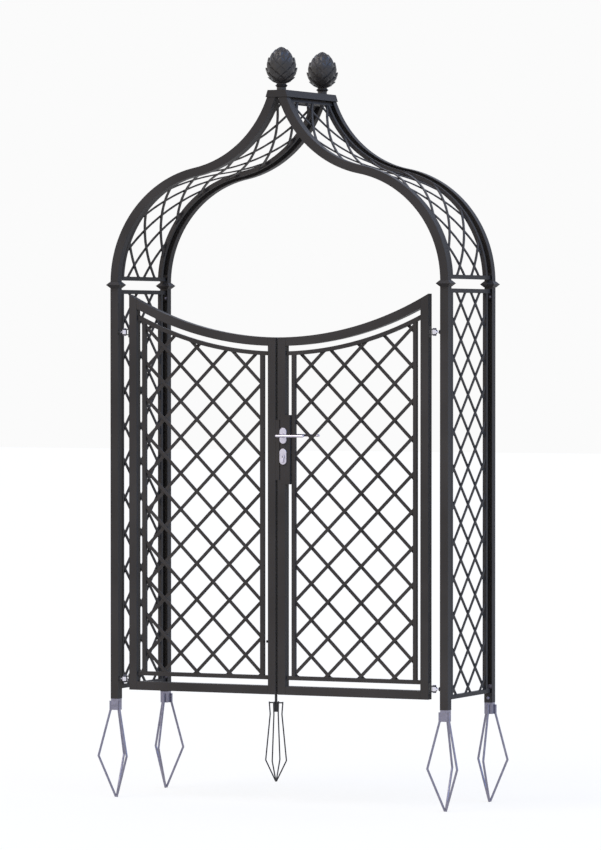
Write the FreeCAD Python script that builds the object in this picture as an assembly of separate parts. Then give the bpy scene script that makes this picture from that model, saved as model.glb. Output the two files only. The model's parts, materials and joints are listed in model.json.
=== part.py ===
import FreeCAD, Part
import math
import os

# Garden arch with a two-leaf gate, in millimetres.
# X runs left to right, Y from the front (gate side) to the rear, Z up.
# The origin lies at ground level in the middle of the four posts.

# Arch layout
post_spacing = 1604.0        # left to right, between post centre lines
arch_depth = 494.0           # front to rear, between post centre lines
post_height = 1850.5         # ground to the joint between post and arc
section = 38.0               # outside of every post, arc and gate frame section
channel_wall = 2.5
tube_wall = 2.0
seat_gap = 0.3               # pieces that slide together or are screwed

# Ogee of the arcs, along the centre line of the section
spring_height = 1860.8       # where the straight foot of an arc starts to bend
lower_radius = 497.9
lower_turn = 78.89           # degrees that the lower bend turns
ridge_angle = 16.37          # degrees from upright where the inner edges meet
ridge_gap = 3.0              # between the left and right arcs at the ridge
ridge_rise = 10.8            # from where they meet up to the underside of the cap

# Collars, inner connectors and foot spacers
collar_height = 27.0
collar_reach = 15.0          # how far the collar's edge stands out from the post
collar_fit = 0.2
connector_strap = 13.2       # thickness of the strap against the channel's web
connector_side_gap = 2.0     # beside the strap, for the bend of the arc
connector_down = 66.0        # strap below the joint
connector_up = 50.0          # strap above the joint

# Panels between the posts and between the arcs
panel_bar = 18.0             # square bars of the panel frames
panel_inset = 25.0           # from the open edge of a channel to the panel's upright
panel_bottom = 43.0          # underside of the side panel's bottom rail
panel_top = 1829.0           # top of the side panel's top rail
arc_panel_bottom = 1871.0    # underside of the arc panel's bottom rail
arc_panel_drop = 5.5         # from the cap's lower edge down to the arc panel
lattice_pitch = 160.0        # diagonal pitch of every flat lattice, corner to corner
lattice_bar = 14.0           # width of a lattice bar
lattice_layer = 5.0          # thickness of one layer of lattice bars
side_lattice_node = 1691.5   # height of a crossing on a side panel's middle line
arc_lattice_pitch = 165.6    # the same lattice, as it lies along the bend
arc_lattice_node = 157.7     # first middle crossing, along the bend from its start
arc_layer_gap = 0.4          # between the two bent layers
lattice_station = 0.25       # a bent bar has a section at each quarter pitch

# Ridge cap and finials
cap_depth = 31.0
cap_wall = 2.5
cap_reach = 6.0              # sideways from the arcs' outer edge to the cap's outside
cap_overhang = 2.3           # past the arcs' front and rear faces
finial_spacing = 430.0       # between the two finials
finial_neck = 21.0           # radii
finial_ring = 28.0
finial_cone_foot = 24.0
finial_cone = 71.0
finial_neck_height = 13.5
finial_ring_height = 14.0
finial_waist = 3.0           # between ring and cone
finial_cone_height = 161.0
finial_belly = 62.0          # height of the cone's widest place above its foot
finial_oval = 0.65           # 0.5 is a true oval, more is slimmer
finial_rows = 8              # rows of scales, each turned by half a scale
finial_scales = 8            # scales in a row
finial_lift = 6.5            # how far a scale's tip stands off at the widest place
finial_stud = 5.0
finial_stud_length = 22.0
stud_fit = 0.4

# Ground anchors
anchor_sleeve = 36.0
anchor_sleeve_wall = 3.0
anchor_sleeve_length = 50.5
anchor_tongue = 6.0
anchor_tongue_length = 78.0
anchor_rod = 5.0             # radius
anchor_rod_top = 10.0        # below ground
anchor_knee_depth = 255.0
anchor_knee_reach = 80.0
anchor_tip_depth = 440.0
anchor_weld = 0.8            # how deep a rod's weld bites into the sleeve
anchor_angles = (90, 210, 330)
anchor_turn = 2.0            # degrees by which the rods are turned

# Screws of the connectors and feet
screw_head = 7.0             # radius at the seat
screw_crown = 4.5            # radius at the top of the head
screw_head_height = 4.0
screw_shank = 3.8
screw_hole = 4.0
screw_length = 12.0
post_screw_drop = 54.5       # from the joint of post and arc down to the screw
foot_screw_height = 20.5

# Gate leaves
hinge_gap = 55.0             # from the post's face to the leaf's edge
parting_gap = 10.0           # between the two meeting stiles
leaf_bottom = 43.0
leaf_middle_height = 1616.5  # top of the gate where the leaves meet
leaf_dip_radius = 1488.0     # the top edge hangs in an arc of this radius
inner_gap_bottom = 27.0      # between the outer frame and the inner frame
inner_gap_top = 24.0
inner_gap_meeting = 24.5
inner_gap_hinge = 22.0
leaf_lattice_node = 1493.8   # height of a crossing on the gate's middle line
leaf_lattice_bar = 14.5

# Hinges
hinge_axis_gap = 29.0        # from the post's face to the hinge axis
hinge_axis_y = -10.5         # from the middle plane of the leaves
hinge_heights = (90.5, 1640.0)
eye_radius = 11.5
eye_height = 18.5
hinge_pin = 5.0
hinge_pin_fit = 0.06
hinge_pin_head = 7.5
hinge_pin_head_height = 2.5
eye_shank = 4.0
eye_neck = 9.0
eye_neck_length = 12.0
eye_shank_depth = 12.0       # past the post's flange
ear_thickness = 5.0
ear_fit = 0.3
bracket_base = 4.0
bracket_half_height = 24.0
bracket_half_width = 8.5
lock_nut = 16.0              # across flats
lock_nut_height = 7.0
insert_radius = 5.8

# Lock, in the right leaf's meeting stile
lock_drop = 214.0            # from the spindle down to the case's foot
lock_rise = 91.0             # and up to its top
lock_front_x = 17.6          # the face that the bolts come out of
lock_back_x = 64.3
lock_wall = 2.5
strike_drop = 195.0          # from the spindle down to the strike box's foot
strike_rise = 69.0           # and up to its top
strike_gap = 3.4             # between the strike box and the lock's face
strike_clear = 0.4           # above and below the strike box
spindle_x = 33.0
spindle_height = 1184.0
lock_spacing = 92.0          # from the spindle down to the cylinder
rose_width = 33.0
rose_height = 70.0
rose_thickness = 5.0
spindle_side = 8.0
spindle_fit = 0.1
lever_radius = 6.0
lever_neck = 8.0
lever_neck_fit = 0.05
lever_taper_gap = 2.0        # from the spindle's end to where the neck starts to taper
lever_offset = 83.0          # from the leaf's middle plane to the lever's centre line
lever_start_x = 14.0         # the rounded end beyond the neck
lever_end_x = 162.0
spindle_socket = 34.0        # how deep the spindle enters each lever
follower_radius = 11.0
follower_width = 12.0
follower_arm = 17.2
follower_arm_half = 3.0

# Bolts
bolt_fit = 0.25              # round each bolt in the lock's face
strike_fit = 1.5             # round each bolt in the strike box
latch_protrusion = 12.0
latch_half_width = 6.0
latch_bottom_rise = 13.0     # above the spindle's axis
latch_height = 16.0
latch_tail = 31.0            # behind the lock's face
latch_notch_depth = 5.6
latch_notch_gap = 0.5
latch_notch_lag = 2.1        # more room in front of the arm, for its slant as it turns
dead_half_width = 6.0
dead_bottom_rise = 9.2       # above the cylinder's axis
dead_height = 20.0
dead_tail = 38.0
dead_throw = 18.0
dead_slot_half = 5.0
dead_slot_depth = 9.0
cam_finger = 12.7            # from the cylinder's axis to the middle of the finger's end
cam_finger_half = 2.5
cam_radius = 8.4
cam_half_width = 4.5
cylinder_radius = 8.5
cylinder_web = 5.0
cylinder_drop = 24.5
cylinder_half_length = 29.0
cylinder_cam_gap = 0.4
cylinder_bridge = 5.0
plug_radius = 6.5
plug_fit = 0.06
key_slot = 2.6
key_slot_height = 9.0
key_slot_depth = 22.0
cutout_fit = 0.3

# Drop bolt and its ground socket
drop_x = -24.5
drop_radius = 6.0
drop_stile_gap = 3.0         # between the stile's rear face and the rod
drop_rest_gap = 1.0          # between the rod's end and the socket's mouth
drop_handle_height = 273.0
drop_handle_reach = 46.0
drop_guide_heights = (64.0, 198.0)
drop_guide_height = 16.0
drop_guide_wall = 4.0
drop_guide_fit = 0.3
socket_mouth = 8.0           # above ground
socket_bore = 10.5
socket_outer = 13.0
socket_depth = 36.0          # below ground
socket_rod = 3.0
socket_rod_top = 32.0
socket_arm_root = 11.5       # the arms' inner ends, inside the tube's wall
socket_arm_drop = 1.2        # from the mouth down to the top of the arms
socket_waist_depth = 47.0
socket_waist = 27.6
socket_knee_depth = 251.0
socket_knee = 48.8
socket_tip_depth = 344.0
socket_turn = 5.0

# Values that follow
half = section / 2
post_x = post_spacing / 2
post_y = arch_depth / 2
leaf_y = -post_y
leaf_outer = post_x - half - hinge_gap
leaf_inner = parting_gap / 2
hinge_x = post_x - half - hinge_axis_gap
hinge_y = leaf_y + hinge_axis_y
upright_face = post_y - half - panel_inset
upright_inner = upright_face - panel_bar
web_seat = -half + channel_wall
strap_face = web_seat + connector_strap
rail_end = post_y - strap_face - seat_gap
dip_centre = leaf_middle_height + leaf_dip_radius
cylinder_height = spindle_height - lock_spacing
lock_bottom = spindle_height - lock_drop
lock_top = spindle_height + lock_rise
strike_bottom = spindle_height - strike_drop
strike_top = spindle_height + strike_rise
post_screw_height = post_height - post_screw_drop
drop_y = leaf_y + half + drop_stile_gap + drop_radius

lower_centre_x = post_x - lower_radius
turn = math.radians(lower_turn)
ridge = math.radians(ridge_angle)
upper_radius = ((lower_centre_x + lower_radius * math.cos(turn) - half * math.cos(ridge) - ridge_gap / 2)
                / (math.cos(ridge) - math.cos(turn)))
upper_centre_x = lower_centre_x + (lower_radius + upper_radius) * math.cos(turn)
upper_centre_z = spring_height + (lower_radius + upper_radius) * math.sin(turn)
ridge_height = upper_centre_z - (upper_radius + half) * math.sin(ridge) + ridge_rise
bend_length = lower_radius * turn
cap_top = ridge_height + cap_wall
cap_bottom = cap_top - cap_depth


def box(x0, x1, y0, y1, z0, z1):
    return Part.makeBox(x1 - x0, y1 - y0, z1 - z0, FreeCAD.Vector(x0, y0, z0))


def centred_box(x, y, z, dx, dy, dz):
    return box(x - dx / 2, x + dx / 2, y - dy / 2, y + dy / 2, z - dz / 2, z + dz / 2)


def cylinder(radius, start, end):
    start = FreeCAD.Vector(*start)
    run = FreeCAD.Vector(*end) - start
    return Part.makeCylinder(radius, run.Length, start, run)


def domed_rod(radius, start_x, end_x, y, z):
    # A round bar along X with a half ball at each end.
    slant = radius * math.sqrt(0.5)
    foot = FreeCAD.Vector(start_x, y, z)
    rise = FreeCAD.Vector(start_x + radius - slant, y, z + slant)
    shoulder = FreeCAD.Vector(start_x + radius, y, z + radius)
    corner = FreeCAD.Vector(end_x - radius, y, z + radius)
    fall = FreeCAD.Vector(end_x - radius + slant, y, z + slant)
    tip = FreeCAD.Vector(end_x, y, z)
    edges = [Part.Arc(foot, rise, shoulder).toShape(), Part.makeLine(shoulder, corner),
             Part.Arc(corner, fall, tip).toShape(), Part.makeLine(tip, foot)]
    return Part.Face(Part.Wire(edges)).revolve(foot, FreeCAD.Vector(1, 0, 0), 360)


def tube_box(x0, x1, y0, y1, z0, z1, wall, open_axis=None):
    # A closed box section; open_axis names the direction in which it is open.
    grow = [(wall, wall) for axis in "xyz"]
    if open_axis is not None:
        grow["xyz".index(open_axis)] = (-1.0, -1.0)
    inner = box(x0 + grow[0][0], x1 - grow[0][1], y0 + grow[1][0], y1 - grow[1][1],
                z0 + grow[2][0], z1 - grow[2][1])
    return box(x0, x1, y0, y1, z0, z1).cut(inner)


def prism_xz(points, y0, y1):
    corners = [FreeCAD.Vector(x, y0, z) for x, z in points]
    face = Part.Face(Part.makePolygon(corners + [corners[0]]))
    return face.extrude(FreeCAD.Vector(0, y1 - y0, 0))


def prism_xy(points, z0, z1):
    corners = [FreeCAD.Vector(x, y, z0) for x, y in points]
    face = Part.Face(Part.makePolygon(corners + [corners[0]]))
    return face.extrude(FreeCAD.Vector(0, 0, z1 - z0))


def fuse(shapes):
    whole = shapes[0].multiFuse(shapes[1:]) if len(shapes) > 1 else shapes[0]
    return whole.removeSplitter()


def group(shapes):
    solids = []
    for shape in shapes:
        solids.extend(shape.Solids)
    return Part.makeCompound(solids)


def mirror_x(shape):
    return shape.mirror(FreeCAD.Vector(0, 0, 0), FreeCAD.Vector(1, 0, 0))


def mirror_y(shape):
    return shape.mirror(FreeCAD.Vector(0, 0, 0), FreeCAD.Vector(0, 1, 0))


def turned(shape, degrees, x, y, axis=(0, 0, 1), z=0.0):
    copy = shape.copy()
    copy.rotate(FreeCAD.Vector(x, y, z), FreeCAD.Vector(*axis), degrees)
    return copy


def four_corners(front_right):
    # The same piece at the four posts, by name.
    front_left = mirror_x(front_right)
    return {"front_right": front_right, "front_left": front_left,
            "rear_right": mirror_y(front_right), "rear_left": mirror_y(front_left)}


def ogee_point(length, offset=0.0, y=0.0):
    # A point on the right arc: length along the bend, offset outwards from the centre line.
    if length <= 0:
        return FreeCAD.Vector(post_x + offset, y, spring_height + length)
    if length <= bend_length:
        angle = length / lower_radius
        reach = lower_radius + offset
        return FreeCAD.Vector(lower_centre_x + reach * math.cos(angle), y,
                              spring_height + reach * math.sin(angle))
    angle = turn - (length - bend_length) / upper_radius
    reach = upper_radius - offset
    return FreeCAD.Vector(upper_centre_x - reach * math.cos(angle), y,
                          upper_centre_z - reach * math.sin(angle))


def ogee_length(height):
    # Length along the bend at which the upper part of the centre line has this height.
    angle = math.asin((upper_centre_z - height) / upper_radius)
    return bend_length + upper_radius * (turn - angle)


def ogee_outer_x(height):
    reach = upper_radius - half
    rise = upper_centre_z - height
    return upper_centre_x - math.sqrt(reach ** 2 - rise ** 2)


def ogee_edges(offset, start, end, y):
    # Edges along the bend at one offset, from one length to another.
    stops = [start] + [stop for stop in (0.0, bend_length) if start < stop < end] + [end]
    edges = []
    for a, b in zip(stops, stops[1:]):
        first = ogee_point(a, offset, y)
        last = ogee_point(b, offset, y)
        if b <= 0:
            edges.append(Part.makeLine(first, last))
        else:
            edges.append(Part.Arc(first, ogee_point((a + b) / 2, offset, y), last).toShape())
    return edges


def ogee_band(inner, outer, start, end, y0, y1):
    # A strip that follows the bend, between two offsets, extruded from y0 to y1.
    up = ogee_edges(outer, start, end, y0)
    down = ogee_edges(inner, start, end, y0)
    top = Part.makeLine(ogee_point(end, outer, y0), ogee_point(end, inner, y0))
    foot = Part.makeLine(ogee_point(start, inner, y0), ogee_point(start, outer, y0))
    wire = Part.Wire(Part.__sortEdges__(up + [top] + down + [foot]))
    return Part.Face(wire).extrude(FreeCAD.Vector(0, y1 - y0, 0))


def pipe(points, radius):
    # A round rod through the points, mitred at each bend.
    corners = [FreeCAD.Vector(*point) for point in points]
    spine = Part.makePolygon(corners)
    run = corners[1] - corners[0]
    ring = Part.Wire(Part.makeCircle(radius, corners[0], run))
    shell = Part.BRepOffsetAPI.MakePipeShell(spine)
    shell.setTransitionMode(1)
    shell.add(ring, False, False)
    shell.build()
    shell.makeSolid()
    return shell.shape()


def hexagon_nut(x, y, z, length, flats, bore):
    # A nut whose axis runs along +X, starting at x.
    corner = flats / math.sqrt(3)
    points = []
    for step in range(6):
        angle = math.radians(60 * step + 30)
        points.append(FreeCAD.Vector(x, y + corner * math.cos(angle), z + corner * math.sin(angle)))
    face = Part.Face(Part.makePolygon(points + [points[0]]))
    body = face.extrude(FreeCAD.Vector(length, 0, 0))
    return body.cut(cylinder(bore, (x - 1, y, z), (x + length + 1, y, z)))


def stadium(x, z, width, height, y0, y1):
    # An upright oval with round ends, extruded along Y.
    radius = width / 2
    straight = height / 2 - radius
    middle = box(x - radius, x + radius, y0, y1, z - straight, z + straight)
    ends = [cylinder(radius, (x, y0, z + sign * straight), (x, y1, z + sign * straight)) for sign in (-1, 1)]
    return fuse([middle] + ends)


# Posts, arcs and what joins them

def make_post():
    # A channel, open towards the rear, with holes for the hinge bolts in its inner flange.
    x0 = post_x - half
    body = box(x0, post_x + half, -post_y - half, -post_y + half, 0, post_height)
    hollow = box(x0 + channel_wall, post_x + half - channel_wall, -post_y + web_seat, -post_y + half + 1,
                 -1, post_height + 1)
    return body.cut(hollow)


def drill_hinges(post):
    holes = []
    for height in hinge_heights:
        start = (post_x - half - 1, hinge_y, height)
        holes.append(cylinder(eye_shank + seat_gap, start, (post_x - half + channel_wall + 1, hinge_y, height)))
    return post.cut(Part.makeCompound(holes))


def make_arc():
    # The post's channel carried on through the ogee, cut level under the ridge cap and upright
    # where the left and right arcs meet.
    start = post_height - spring_height
    end = ogee_length(ridge_height) + section
    y0 = -post_y - half
    body = ogee_band(-half, half, start, end, y0, y0 + section)
    inner = half - channel_wall
    hollow = ogee_band(-inner, inner, start - 1, end + 1, y0 + channel_wall, y0 + section + 1)
    above = box(-post_x, post_x, y0 - 1, y0 + section + 1, ridge_height, ridge_height + post_x)
    beyond = box(-post_x, ridge_gap / 2, y0 - 1, y0 + section + 1, post_height, ridge_height + post_x)
    return body.cut(hollow).cut(above).cut(beyond)


def make_collar():
    # A square ring with a double bevel, round the joint between post and arc.
    reach = half + collar_reach
    lip = reach - collar_height / 2
    halves = []
    for sign in (-1, 1):
        lower = square_wire(reach, post_height)
        upper = square_wire(lip, post_height + sign * collar_height / 2)
        halves.append(Part.makeLoft([lower, upper], True, True))
    hole = half + collar_fit
    bore = box(post_x - hole, post_x + hole, -post_y - hole, -post_y + hole,
               post_height - collar_height, post_height + collar_height)
    return fuse(halves).cut(bore)


def square_wire(reach, height):
    corners = [FreeCAD.Vector(post_x + sx * reach, -post_y + sy * reach, height)
               for sx, sy in ((-1, -1), (1, -1), (1, 1), (-1, 1))]
    return Part.makePolygon(corners + [corners[0]])


def make_connector():
    # A strap inside the channels, with a block that closes them at the joint.
    strap_half = half - channel_wall - connector_side_gap
    strap = box(post_x - strap_half, post_x + strap_half, -post_y + web_seat, -post_y + strap_face,
                post_height - connector_down, post_height + connector_up)
    width = half - channel_wall - seat_gap
    block = box(post_x - width, post_x + width, -post_y + web_seat, -post_y + half, panel_top + seat_gap, arc_panel_bottom)
    hole = cylinder(screw_hole, (post_x, -post_y + strap_face - screw_length - 1, post_screw_height),
                    (post_x, -post_y + strap_face + 1, post_screw_height))
    return fuse([strap, block]).cut(hole)


def make_foot_spacer():
    # A short square tube that fills the channel's foot, under the panel's bottom rail.
    width = half - channel_wall - seat_gap
    y0 = -post_y + web_seat + anchor_tongue + seat_gap
    body = tube_box(post_x - width, post_x + width, y0, -post_y + half, 0, panel_bottom, channel_wall, "z")
    hole = cylinder(screw_hole, (post_x, y0 - 1, foot_screw_height),
                    (post_x, -post_y + half + 1, foot_screw_height))
    return body.cut(hole)


def make_screw(y_face, height, length):
    # A round-headed screw that points to the front, with its head on the face.
    shank = cylinder(screw_shank, (post_x, y_face - length, height), (post_x, y_face, height))
    head = Part.makeCone(screw_head, screw_crown, screw_head_height,
                         FreeCAD.Vector(post_x, y_face, height), FreeCAD.Vector(0, 1, 0))
    return fuse([shank, head])


def make_panel_screws():
    upper = make_screw(-post_y + strap_face, post_screw_height, screw_length)
    reach = section - channel_wall - seat_gap
    lower = make_screw(-post_y + half, foot_screw_height, reach)
    screws = []
    for piece in (upper, lower):
        screws.extend(four_corners(piece).values())
    return group(screws)


def make_anchor(rod_turn):
    # A sleeve under the post with a tongue up inside it and three bent rods that meet in a point.
    outer = anchor_sleeve / 2
    inner = outer - anchor_sleeve_wall
    sleeve = box(-outer, outer, -outer, outer, -anchor_sleeve_length, 0)
    sleeve = sleeve.cut(box(-inner, inner, -inner, inner, -anchor_sleeve_length - 1, -anchor_sleeve_wall))
    width = half - channel_wall - seat_gap
    tongue = box(-width, width, web_seat, web_seat + anchor_tongue, 0, anchor_tongue_length)
    hole = cylinder(screw_hole, (0, web_seat - 1, foot_screw_height),
                    (0, web_seat + anchor_tongue + 1, foot_screw_height))
    pieces = [sleeve, tongue.cut(hole)]
    for angle in anchor_angles:
        pieces.append(anchor_arm(angle + rod_turn, outer))
    body = fuse(pieces)
    body.translate(FreeCAD.Vector(post_x, -post_y, 0))
    return body


def anchor_arm(angle, outer):
    # One rod, welded to the sleeve's face, out to its knee and in to the tip.
    direction = (math.cos(math.radians(angle)), math.sin(math.radians(angle)))
    spread = max(abs(direction[0]), abs(direction[1]))
    root = (outer + anchor_rod - anchor_weld) / spread
    stations = ((root, -anchor_rod_top), (root, -anchor_sleeve_length),
                (anchor_knee_reach, -anchor_knee_depth), (anchor_rod / 2, -anchor_tip_depth))
    return pipe([(reach * direction[0], reach * direction[1], z) for reach, z in stations], anchor_rod)


# Panels

def diagonal_bars(low, high, left, right, node_height, node_place, pitch, width, slope):
    # Outlines of parallel bars at 45 degrees that cross a window, as corner lists.
    reach = width / math.sqrt(2)
    bars = []
    span = (right - left) + (high - low)
    first = int(math.floor((low - node_height - span) / pitch))
    last = int(math.ceil((high - node_height + span) / pitch))
    for index in range(first, last + 1):
        base = node_height + index * pitch
        at_left = base + slope * (left - node_place)
        at_right = base + slope * (right - node_place)
        if max(at_left, at_right) + reach <= low or min(at_left, at_right) - reach >= high:
            continue
        bars.append([(left, at_left - reach), (right, at_right - reach),
                     (right, at_right + reach), (left, at_left + reach)])
    return bars


def make_lattice_xz(window, left, right, low, high, node_height, width, y_middle):
    # Two layers of diagonal bars on either side of a plane, cut to a window and welded where they
    # cross. A corner stub that crosses no other bar is left out.
    layers = []
    for slope, y0 in ((1, y_middle - lattice_layer), (-1, y_middle)):
        outlines = diagonal_bars(low, high, left, right, node_height, 0.0, lattice_pitch, width, slope)
        bars = [prism_xz(outline, y0, y0 + lattice_layer) for outline in outlines]
        layers.append(Part.makeCompound(bars).common(window))
    whole = fuse([solid for layer in layers for solid in layer.Solids])
    return max(whole.Solids, key=lambda solid: solid.Volume)


def make_side_frame():
    # Two uprights and two rails, whose ends run into the channels of the posts.
    low = panel_bottom
    high = panel_top
    x0 = post_x - panel_bar / 2
    x1 = post_x + panel_bar / 2
    pieces = [box(x0, x1, -rail_end, rail_end, z0, z0 + panel_bar) for z0 in (low, high - panel_bar)]
    for sign in (-1, 1):
        y0, y1 = sorted((sign * upright_inner, sign * upright_face))
        pieces.append(box(x0, x1, y0, y1, low, high))
    return fuse(pieces)


def make_side_lattice():
    # Made across the X direction, then turned into the plane of the side panel.
    low = panel_bottom + panel_bar
    high = panel_top - panel_bar
    window = box(-upright_inner, upright_inner, -section, section, low, high)
    flat = make_lattice_xz(window, -upright_inner, upright_inner, low, high, side_lattice_node, lattice_bar, 0.0)
    upright = turned(flat, 90, 0, 0)
    upright.translate(FreeCAD.Vector(post_x, 0, 0))
    return upright


def arc_panel_span():
    start = arc_panel_bottom + panel_bar - spring_height
    end = ogee_length(cap_bottom) - arc_panel_drop - panel_bar
    return start, end


def make_arc_frame():
    # Two bent bars between a bottom rail and a top rail that run into the channels.
    start, end = arc_panel_span()
    inner = panel_bar / 2
    rail_top = ogee_band(-inner, inner, end, end + panel_bar, -post_y - web_seat - seat_gap,
                         post_y + web_seat + seat_gap)
    pieces = [rail_top]
    pieces.append(box(post_x - inner, post_x + inner, -rail_end, rail_end,
                      arc_panel_bottom, arc_panel_bottom + panel_bar))
    for sign in (-1, 1):
        y0, y1 = sorted((sign * upright_inner, sign * upright_face))
        pieces.append(ogee_band(-inner, inner, start - panel_bar / 2, end, y0, y1))
    return fuse(pieces)


def arc_window(start, end):
    # The space between the rails: level on the bottom rail, square to the bend at the top rail.
    rail_top = arc_panel_bottom + panel_bar
    band = ogee_band(-panel_bar, panel_bar, start - panel_bar, end, -upright_inner, upright_inner)
    below = box(post_x - section, post_x + section, -upright_face, upright_face, rail_top - 2 * panel_bar, rail_top)
    return band.cut(below)


def make_arc_lattice():
    # Diagonal bars in two layers that follow the bend from rail to rail.
    start, end = arc_panel_span()
    window = arc_window(start, end)
    rise = arc_lattice_pitch / lattice_pitch
    reach = lattice_bar / math.sqrt(2)
    span = upright_inner * rise + reach
    first = int(math.floor((start - arc_lattice_node - span) / arc_lattice_pitch))
    last = int(math.ceil((end - arc_lattice_node + span) / arc_lattice_pitch))
    bars = []
    for slope, offset in ((1, arc_layer_gap / 2), (-1, -arc_layer_gap / 2 - lattice_layer)):
        for index in range(first, last + 1):
            middle = arc_lattice_node + index * arc_lattice_pitch
            if middle + span <= start or middle - span >= end:
                continue
            bar = bent_bar(middle, slope * rise, reach, offset, start, end)
            inside = middle - span > start + lattice_layer and middle + span < end
            bars.extend(bar.Solids if inside else bar.common(window).Solids)
    return Part.makeCompound(bars)


def bent_bar(middle, rise, reach, offset, start, end):
    # One diagonal bar on the bend, lofted through a section at each quarter pitch.
    step = lattice_pitch * lattice_station
    count = int(math.ceil(upright_inner / step)) - 1
    inner = [step * index for index in range(-count, count + 1)]
    sections = []
    for y in [-upright_inner] + inner + [upright_inner]:
        length = middle + rise * y
        if length + reach < start - step or length - reach > end + step:
            continue
        corners = [ogee_point(length - reach, offset, y), ogee_point(length + reach, offset, y),
                   ogee_point(length + reach, offset + lattice_layer, y),
                   ogee_point(length - reach, offset + lattice_layer, y)]
        sections.append(Part.makePolygon(corners + [corners[0]]))
    return Part.makeLoft(sections, True, True)


# Ridge cap and finials

def cap_half(height):
    return ogee_outer_x(height) + cap_reach


def make_ridge_cap():
    # A folded cover with sloping sides and closed ends over the tops of the four arcs.
    y_end = post_y + half + cap_overhang
    outer = prism_xz([(-cap_half(cap_bottom), cap_bottom), (cap_half(cap_bottom), cap_bottom),
                      (cap_half(cap_top), cap_top), (-cap_half(cap_top), cap_top)], -y_end, y_end)
    y_in = post_y + half
    low = cap_bottom - 1
    low_half = cap_half(cap_bottom) - cap_wall + (cap_half(cap_bottom) - cap_half(cap_top)) / cap_depth
    high = ridge_height
    high_half = cap_half(ridge_height) - cap_wall
    inner = prism_xz([(-low_half, low), (low_half, low), (high_half, high), (-high_half, high)], -y_in, y_in)
    holes = [cylinder(finial_stud + stud_fit, (0, sign * finial_spacing / 2, ridge_height - 1),
                      (0, sign * finial_spacing / 2, cap_top + 1)) for sign in (-1, 1)]
    return outer.cut(inner).cut(Part.makeCompound(holes))


def make_finial_foot():
    # A round neck with a double-bevelled ring, and a stud through the cap.
    ring_low = cap_top + finial_neck_height
    ring_high = ring_low + finial_ring_height
    points = [(0, cap_top), (finial_neck, cap_top), (finial_neck, ring_low),
              (finial_ring, (ring_low + ring_high) / 2), (finial_neck, ring_high),
              (finial_neck, ring_high + finial_waist), (0, ring_high + finial_waist)]
    corners = [FreeCAD.Vector(x, 0, z) for x, z in points]
    face = Part.Face(Part.makePolygon(corners + [corners[0]]))
    body = face.revolve(FreeCAD.Vector(0, 0, 0), FreeCAD.Vector(0, 0, 1), 360)
    return fuse([body, cylinder(finial_stud, (0, 0, cap_top - finial_stud_length), (0, 0, cap_top))])


def cone_height(row):
    # Height of a row of tips above the cone's foot; the rows are closer at both ends.
    share = row / (finial_rows + 1)
    return finial_cone_height * (share / 2 + (1 - math.cos(math.pi * share)) / 4)


def cone_radius(height):
    # Two half ovals that meet at the belly.
    foot = 0.0
    share = (height - finial_belly) / (finial_cone_height - finial_belly)
    if height < finial_belly:
        foot = finial_cone_foot
        share = (finial_belly - height) / finial_belly
    return foot + (finial_cone - foot) * max(1 - share ** 2, 0.0) ** finial_oval


def cone_point(row, step, lifted=False):
    # A corner of the scales; the steps go round the axis by half a scale.
    height = cone_height(row)
    radius = cone_radius(height)
    if row > 0 and not lifted:
        radius *= 1 - finial_lift / finial_cone
    angle = math.pi * step / finial_scales
    base = cap_top + finial_neck_height + finial_ring_height + finial_waist
    return FreeCAD.Vector(radius * math.cos(angle), radius * math.sin(angle), base + height)


def scale_facets(row, step):
    # A keeled diamond whose tip stands off above two ledges.
    seat = cone_point(row, step)
    tip = cone_point(row, step, True)
    left = cone_point(row - 1, step - 1)
    right = cone_point(row - 1, step + 1)
    facets = [[right, seat, tip], [left, tip, seat]]
    if row == 1:
        return facets + [[left, right, tip]]
    bottom = cone_point(row - 2, step)
    return facets + [[bottom, right, tip], [bottom, tip, left]]


def make_pine_cone():
    # One closed skin of facets: the foot, the rows of scales and the bud.
    around = range(2 * finial_scales)
    facets = [[cone_point(0, step) for step in around if step % 2 == 1]]
    for row in range(1, finial_rows + 1):
        for step in around:
            if (row + step) % 2 == 1:
                facets.extend(scale_facets(row, step))
    apex = cone_point(finial_rows + 1, 0)
    for step in around:
        if (finial_rows + step) % 2 == 0:
            bottom = cone_point(finial_rows - 1, step)
            left = cone_point(finial_rows, step - 1)
            right = cone_point(finial_rows, step + 1)
            facets.extend([[bottom, right, apex], [bottom, apex, left]])
    faces = [Part.Face(Part.makePolygon(corners + [corners[0]])) for corners in facets]
    solid = Part.makeSolid(Part.makeShell(faces))
    if solid.Volume < 0:
        solid.reverse()
    return solid


def make_finial(sign):
    whole = fuse([make_finial_foot(), make_pine_cone()])
    whole.translate(FreeCAD.Vector(0, sign * finial_spacing / 2, 0))
    return whole


# Gate leaves, made as the right leaf and mirrored for the left

def dip_disc(radius, y0, y1):
    return Part.makeCylinder(radius, y1 - y0, FreeCAD.Vector(0, y0, dip_centre), FreeCAD.Vector(0, 1, 0))


def dip_height(radius, x):
    return dip_centre - math.sqrt(radius ** 2 - x ** 2)


def leaf_bounds(depth):
    return leaf_y - depth / 2, leaf_y + depth / 2


def make_stile(x0, x1):
    # A square tube, closed at its foot and cut along the gate's hanging top edge.
    y0, y1 = leaf_bounds(section)
    top = dip_height(leaf_dip_radius, x1) + 1
    body = box(x0, x1, y0, y1, leaf_bottom, top).cut(dip_disc(leaf_dip_radius, y0 - 1, y1 + 1))
    core = box(x0 + tube_wall, x1 - tube_wall, y0 + tube_wall, y1 - tube_wall, leaf_bottom + tube_wall, top)
    core = core.cut(dip_disc(leaf_dip_radius + tube_wall, y0, y1))
    return body.cut(core)


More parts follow.
